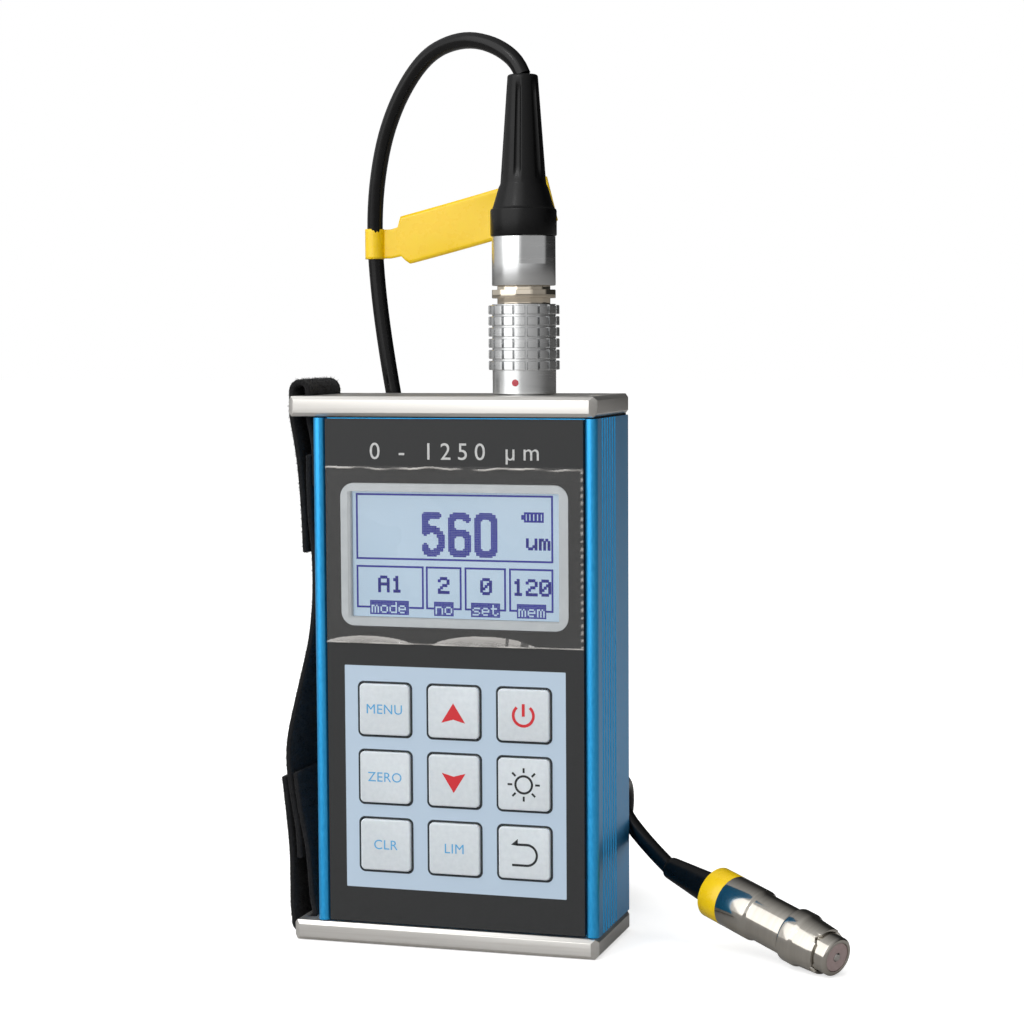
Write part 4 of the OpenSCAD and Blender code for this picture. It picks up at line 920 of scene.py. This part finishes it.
dress(finish("potting", "b29c9a", "c4b0ae", (900, 900, 900), (0.35, 0.5), 0.1, patch=200), "probe_face")
dress(finish("tip_steel", "b4b0ac", "dcd8d4", (600, 600, 600), (0.1, 0.18), Metallic=1.0), "probe_tip")
dress(finish("winding_copper", "7d4318", "a7642a", (300, 300, 3000), (0.3, 0.4), Metallic=0.8),
      "probe_winding")
dress(finish("spring_steel", "77797c", "97999c", (700, 700, 700), (0.25, 0.35), Metallic=1.0), "probe_spring")

# Hand strap
# Three lengths of black hook-and-loop webbing: a tab folded through the slot in each end plate, and
# a band pressed between them. The loop pile is worn fuzzy, most of all along its cut edges.
FUZZ_DENSITY = 5.5e6
FUZZ_LENGTH = 0.55
FUZZ_R = 0.045
fuzz_finish = finish(
    "webbing_fuzz", "0b0b0d", "1c1c1f", (900, 900, 900), (0.8, 0.95), 0.0, Sheen_Weight=0.1,
    Specular_IOR_Level=0.2)


def make_fuzz_tree():
    """Geometry nodes: a pile of short fibres on every face of a strap."""
    tree = bpy.data.node_groups.new("strap_fuzz", "GeometryNodeTree")
    for label, kind in (("Geometry", "Geometry"), ("Density", "Float"), ("Length", "Float"),
                        ("Radius", "Float"), ("Pile", "Material")):
        tree.interface.new_socket(label, in_out="INPUT", socket_type="NodeSocket" + kind)
    tree.interface.new_socket("Geometry", in_out="OUTPUT", socket_type="NodeSocketGeometry")
    nodes, link = tree.nodes, tree.links.new
    given = nodes.new("NodeGroupInput")
    out = nodes.new("NodeGroupOutput")
    spread = nodes.new("GeometryNodeDistributePointsOnFaces")
    spread.inputs["Seed"].default_value = 7
    fibre = nodes.new("GeometryNodeMeshCone")
    fibre.inputs["Vertices"].default_value = 3
    fibre.inputs["Radius Top"].default_value = 0.0
    lean = nodes.new("FunctionNodeRandomValue")
    lean.data_type = "FLOAT_VECTOR"
    lean.inputs["Min"].default_value = (-0.9, -0.9, -3.1)
    lean.inputs["Max"].default_value = (0.9, 0.9, 3.1)
    lean.inputs["Seed"].default_value = 3
    size = nodes.new("FunctionNodeRandomValue")
    size.inputs[2].default_value = 0.35
    size.inputs[3].default_value = 1.2
    size.inputs["Seed"].default_value = 5
    spun = nodes.new("FunctionNodeRotateRotation")
    spun.rotation_space = "LOCAL"
    planted = nodes.new("GeometryNodeInstanceOnPoints")
    real = nodes.new("GeometryNodeRealizeInstances")
    paint_pile = nodes.new("GeometryNodeSetMaterial")
    joined = nodes.new("GeometryNodeJoinGeometry")
    link(given.outputs["Geometry"], spread.inputs["Mesh"])
    link(given.outputs["Density"], spread.inputs["Density"])
    link(given.outputs["Length"], fibre.inputs["Depth"])
    link(given.outputs["Radius"], fibre.inputs["Radius Bottom"])
    link(spread.outputs["Points"], planted.inputs["Points"])
    link(fibre.outputs["Mesh"], planted.inputs["Instance"])
    link(spread.outputs["Rotation"], spun.inputs["Rotation"])
    link(lean.outputs[0], spun.inputs["Rotate By"])
    link(spun.outputs[0], planted.inputs["Rotation"])
    link(size.outputs[1], planted.inputs["Scale"])
    link(planted.outputs[0], real.inputs[0])
    link(real.outputs[0], paint_pile.inputs["Geometry"])
    link(given.outputs["Pile"], paint_pile.inputs["Material"])
    link(given.outputs["Geometry"], joined.inputs[0])
    link(paint_pile.outputs[0], joined.inputs[0])
    link(joined.outputs[0], out.inputs[0])
    return tree


FUZZ_TREE = make_fuzz_tree()


def fuzzy_strap(node):
    """Copy of a strap's solid with softened edges and a fuzzy pile."""
    bm = bmesh.new()
    bm.from_mesh(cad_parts[node].data)
    bmesh.ops.remove_doubles(bm, verts=bm.verts, dist=0.002 * MM)
    bmesh.ops.dissolve_limit(bm, angle_limit=math.radians(0.4), verts=bm.verts, edges=bm.edges)
    mesh = bpy.data.meshes.new(node + "_dressed")
    bm.to_mesh(mesh)
    bm.free()
    mesh.materials.append(webbing)
    work = bpy.data.objects.new(node + "_work", mesh)
    bpy.context.scene.collection.objects.link(work)
    soft = work.modifiers.new("soft_edges", "BEVEL")
    soft.width = 0.4 * MM
    soft.segments = 3
    soft.limit_method = "ANGLE"
    soft.angle_limit = math.radians(50)
    pile = work.modifiers.new("pile", "NODES")
    pile.node_group = FUZZ_TREE
    values = {"Density": FUZZ_DENSITY, "Length": FUZZ_LENGTH * MM, "Radius": FUZZ_R * MM, "Pile": fuzz_finish}
    for item in FUZZ_TREE.interface.items_tree:
        if item.in_out == "INPUT" and item.name in values:
            pile[item.identifier] = values[item.name]
    bpy.context.view_layer.update()
    whole = bpy.data.meshes.new_from_object(work.evaluated_get(bpy.context.evaluated_depsgraph_get()))
    bpy.data.objects.remove(work)
    whole.name = node + "_dressed"
    piece = bpy.data.objects.new(node + "_dressed", whole)
    bpy.context.scene.collection.objects.link(piece)
    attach(piece, "gauge")
    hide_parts(node)


for strap_node in ("strap_top_tab", "strap_bottom_tab", "strap_band"):
    fuzzy_strap(strap_node)

# Floor, light and camera
# A pale seamless floor under soft studio light: a broad key from the left and front, a top light
# and a small lamp for glints, in a room that is dark behind on the right. The lens is a short telephoto.
FLOOR_SIZE = 6.0
FLOOR_LEVEL = -0.0002
FLOOR_MIRRORED = (0.42, 0.41, 0.4, 1)
FLOOR_GLOW = 0.62
floor_mesh = bpy.data.meshes.new("floor")
floor_corners = [
    (x * FLOOR_SIZE, y * FLOOR_SIZE, FLOOR_LEVEL) for x, y in ((-1, -1), (1, -1), (1, 1), (-1, 1))]
floor_mesh.from_pydata(floor_corners, [], [(0, 1, 2, 3)])
floor = bpy.data.objects.new("floor", floor_mesh)
bpy.context.scene.collection.objects.link(floor)
floor_finish = finish(
    "pale_floor", "f2f2f1", "f6f6f5", (40, 40, 40), (0.85, 0.95), 0.0, Specular_IOR_Level=0.1)
floor_mesh.materials.append(floor_finish)
floor_shader = floor_finish.node_tree.nodes["Principled BSDF"]
floor_shader.inputs["Emission Color"].default_value = (1, 1, 1, 1)
floor_tree = floor_finish.node_tree
floor_seen = put(floor_tree, "LightPath").outputs["Is Camera Ray"]
floor_glow = put(floor_tree, "Math", {0: floor_seen, 1: FLOOR_GLOW}, operation="MULTIPLY")
floor_tone = put(floor_tree, "MixRGB", {
    "Fac": floor_seen, "Color1": FLOOR_MIRRORED, "Color2": floor_tree.nodes["tone"].outputs[0]})
floor_tree.links.new(floor_glow.outputs[0], floor_shader.inputs["Emission Strength"])
floor_tree.links.new(floor_tone.outputs[0], floor_shader.inputs["Base Color"])


def soft_light(name, place, target, size, power, mirrored=True):
    """Square area light that faces a point, and that polished metal may or may not mirror."""
    data = bpy.data.lights.new(name, "AREA")
    data.size = size
    data.energy = power
    lamp = bpy.data.objects.new(name, data)
    lamp.visible_glossy = mirrored
    bpy.context.scene.collection.objects.link(lamp)
    lamp.location = place
    lamp.rotation_euler = (Vector(target) - Vector(place)).to_track_quat("-Z", "Y").to_euler()


MIDDLE = (0.02, 0, 0.09)
DARK_SIDE = (0.5, 0.85, -0.1)
soft_light("key_light", (-0.5, -0.8, 0.6), MIDDLE, 1.4, 7.0)
soft_light("top_light", (-0.1, 0.15, 1.1), MIDDLE, 0.9, 3.0, False)
soft_light("glint_light", (-0.35, -0.9, 0.85), MIDDLE, 0.16, 0.9)

world = bpy.data.worlds.new("studio")
bpy.context.scene.world = world
world.use_nodes = True
sky = world.node_tree
backdrop = sky.nodes["Background"]
toward_dark = put(sky, "VectorMath", {
    0: put(sky, "TexCoord").outputs["Generated"], 1: DARK_SIDE}, operation="DOT_PRODUCT")
side_tone = put(sky, "MapRange", {
    "Value": toward_dark.outputs["Value"], "From Min": -0.9, "From Max": 0.7, "To Min": 0.95, "To Max": 0.03})
seen = put(sky, "LightPath")
sky_tone = put(sky, "MixRGB", {
    "Fac": seen.outputs["Is Camera Ray"], "Color1": side_tone.outputs[0], "Color2": (1, 1, 1, 1)})
sky.links.new(sky_tone.outputs[0], backdrop.inputs["Color"])

CAMERA_PLACE = (161.15, -500.22, 133.39)
CAMERA_YAW, CAMERA_PITCH, CAMERA_ROLL = (math.radians(a) for a in (16.907, 4.265, -0.349))
ahead = Vector((-math.sin(CAMERA_YAW) * math.cos(CAMERA_PITCH),
                math.cos(CAMERA_YAW) * math.cos(CAMERA_PITCH), -math.sin(CAMERA_PITCH)))
level = Vector((math.cos(CAMERA_YAW), math.sin(CAMERA_YAW), 0))
upright = level.cross(ahead)
right = level * math.cos(CAMERA_ROLL) + upright * math.sin(CAMERA_ROLL)
up = upright * math.cos(CAMERA_ROLL) - level * math.sin(CAMERA_ROLL)
camera_data = bpy.data.cameras.new("camera")
camera_data.sensor_width = 36
camera_data.lens = 84.37
camera = bpy.data.objects.new("camera", camera_data)
bpy.context.scene.collection.objects.link(camera)
camera_turn = Matrix((right, up, -ahead)).transposed().to_4x4()
camera.matrix_world = Matrix.Translation(Vector(CAMERA_PLACE) * MM) @ camera_turn
bpy.context.scene.camera = camera
bpy.context.scene.view_settings.view_transform = "Standard"
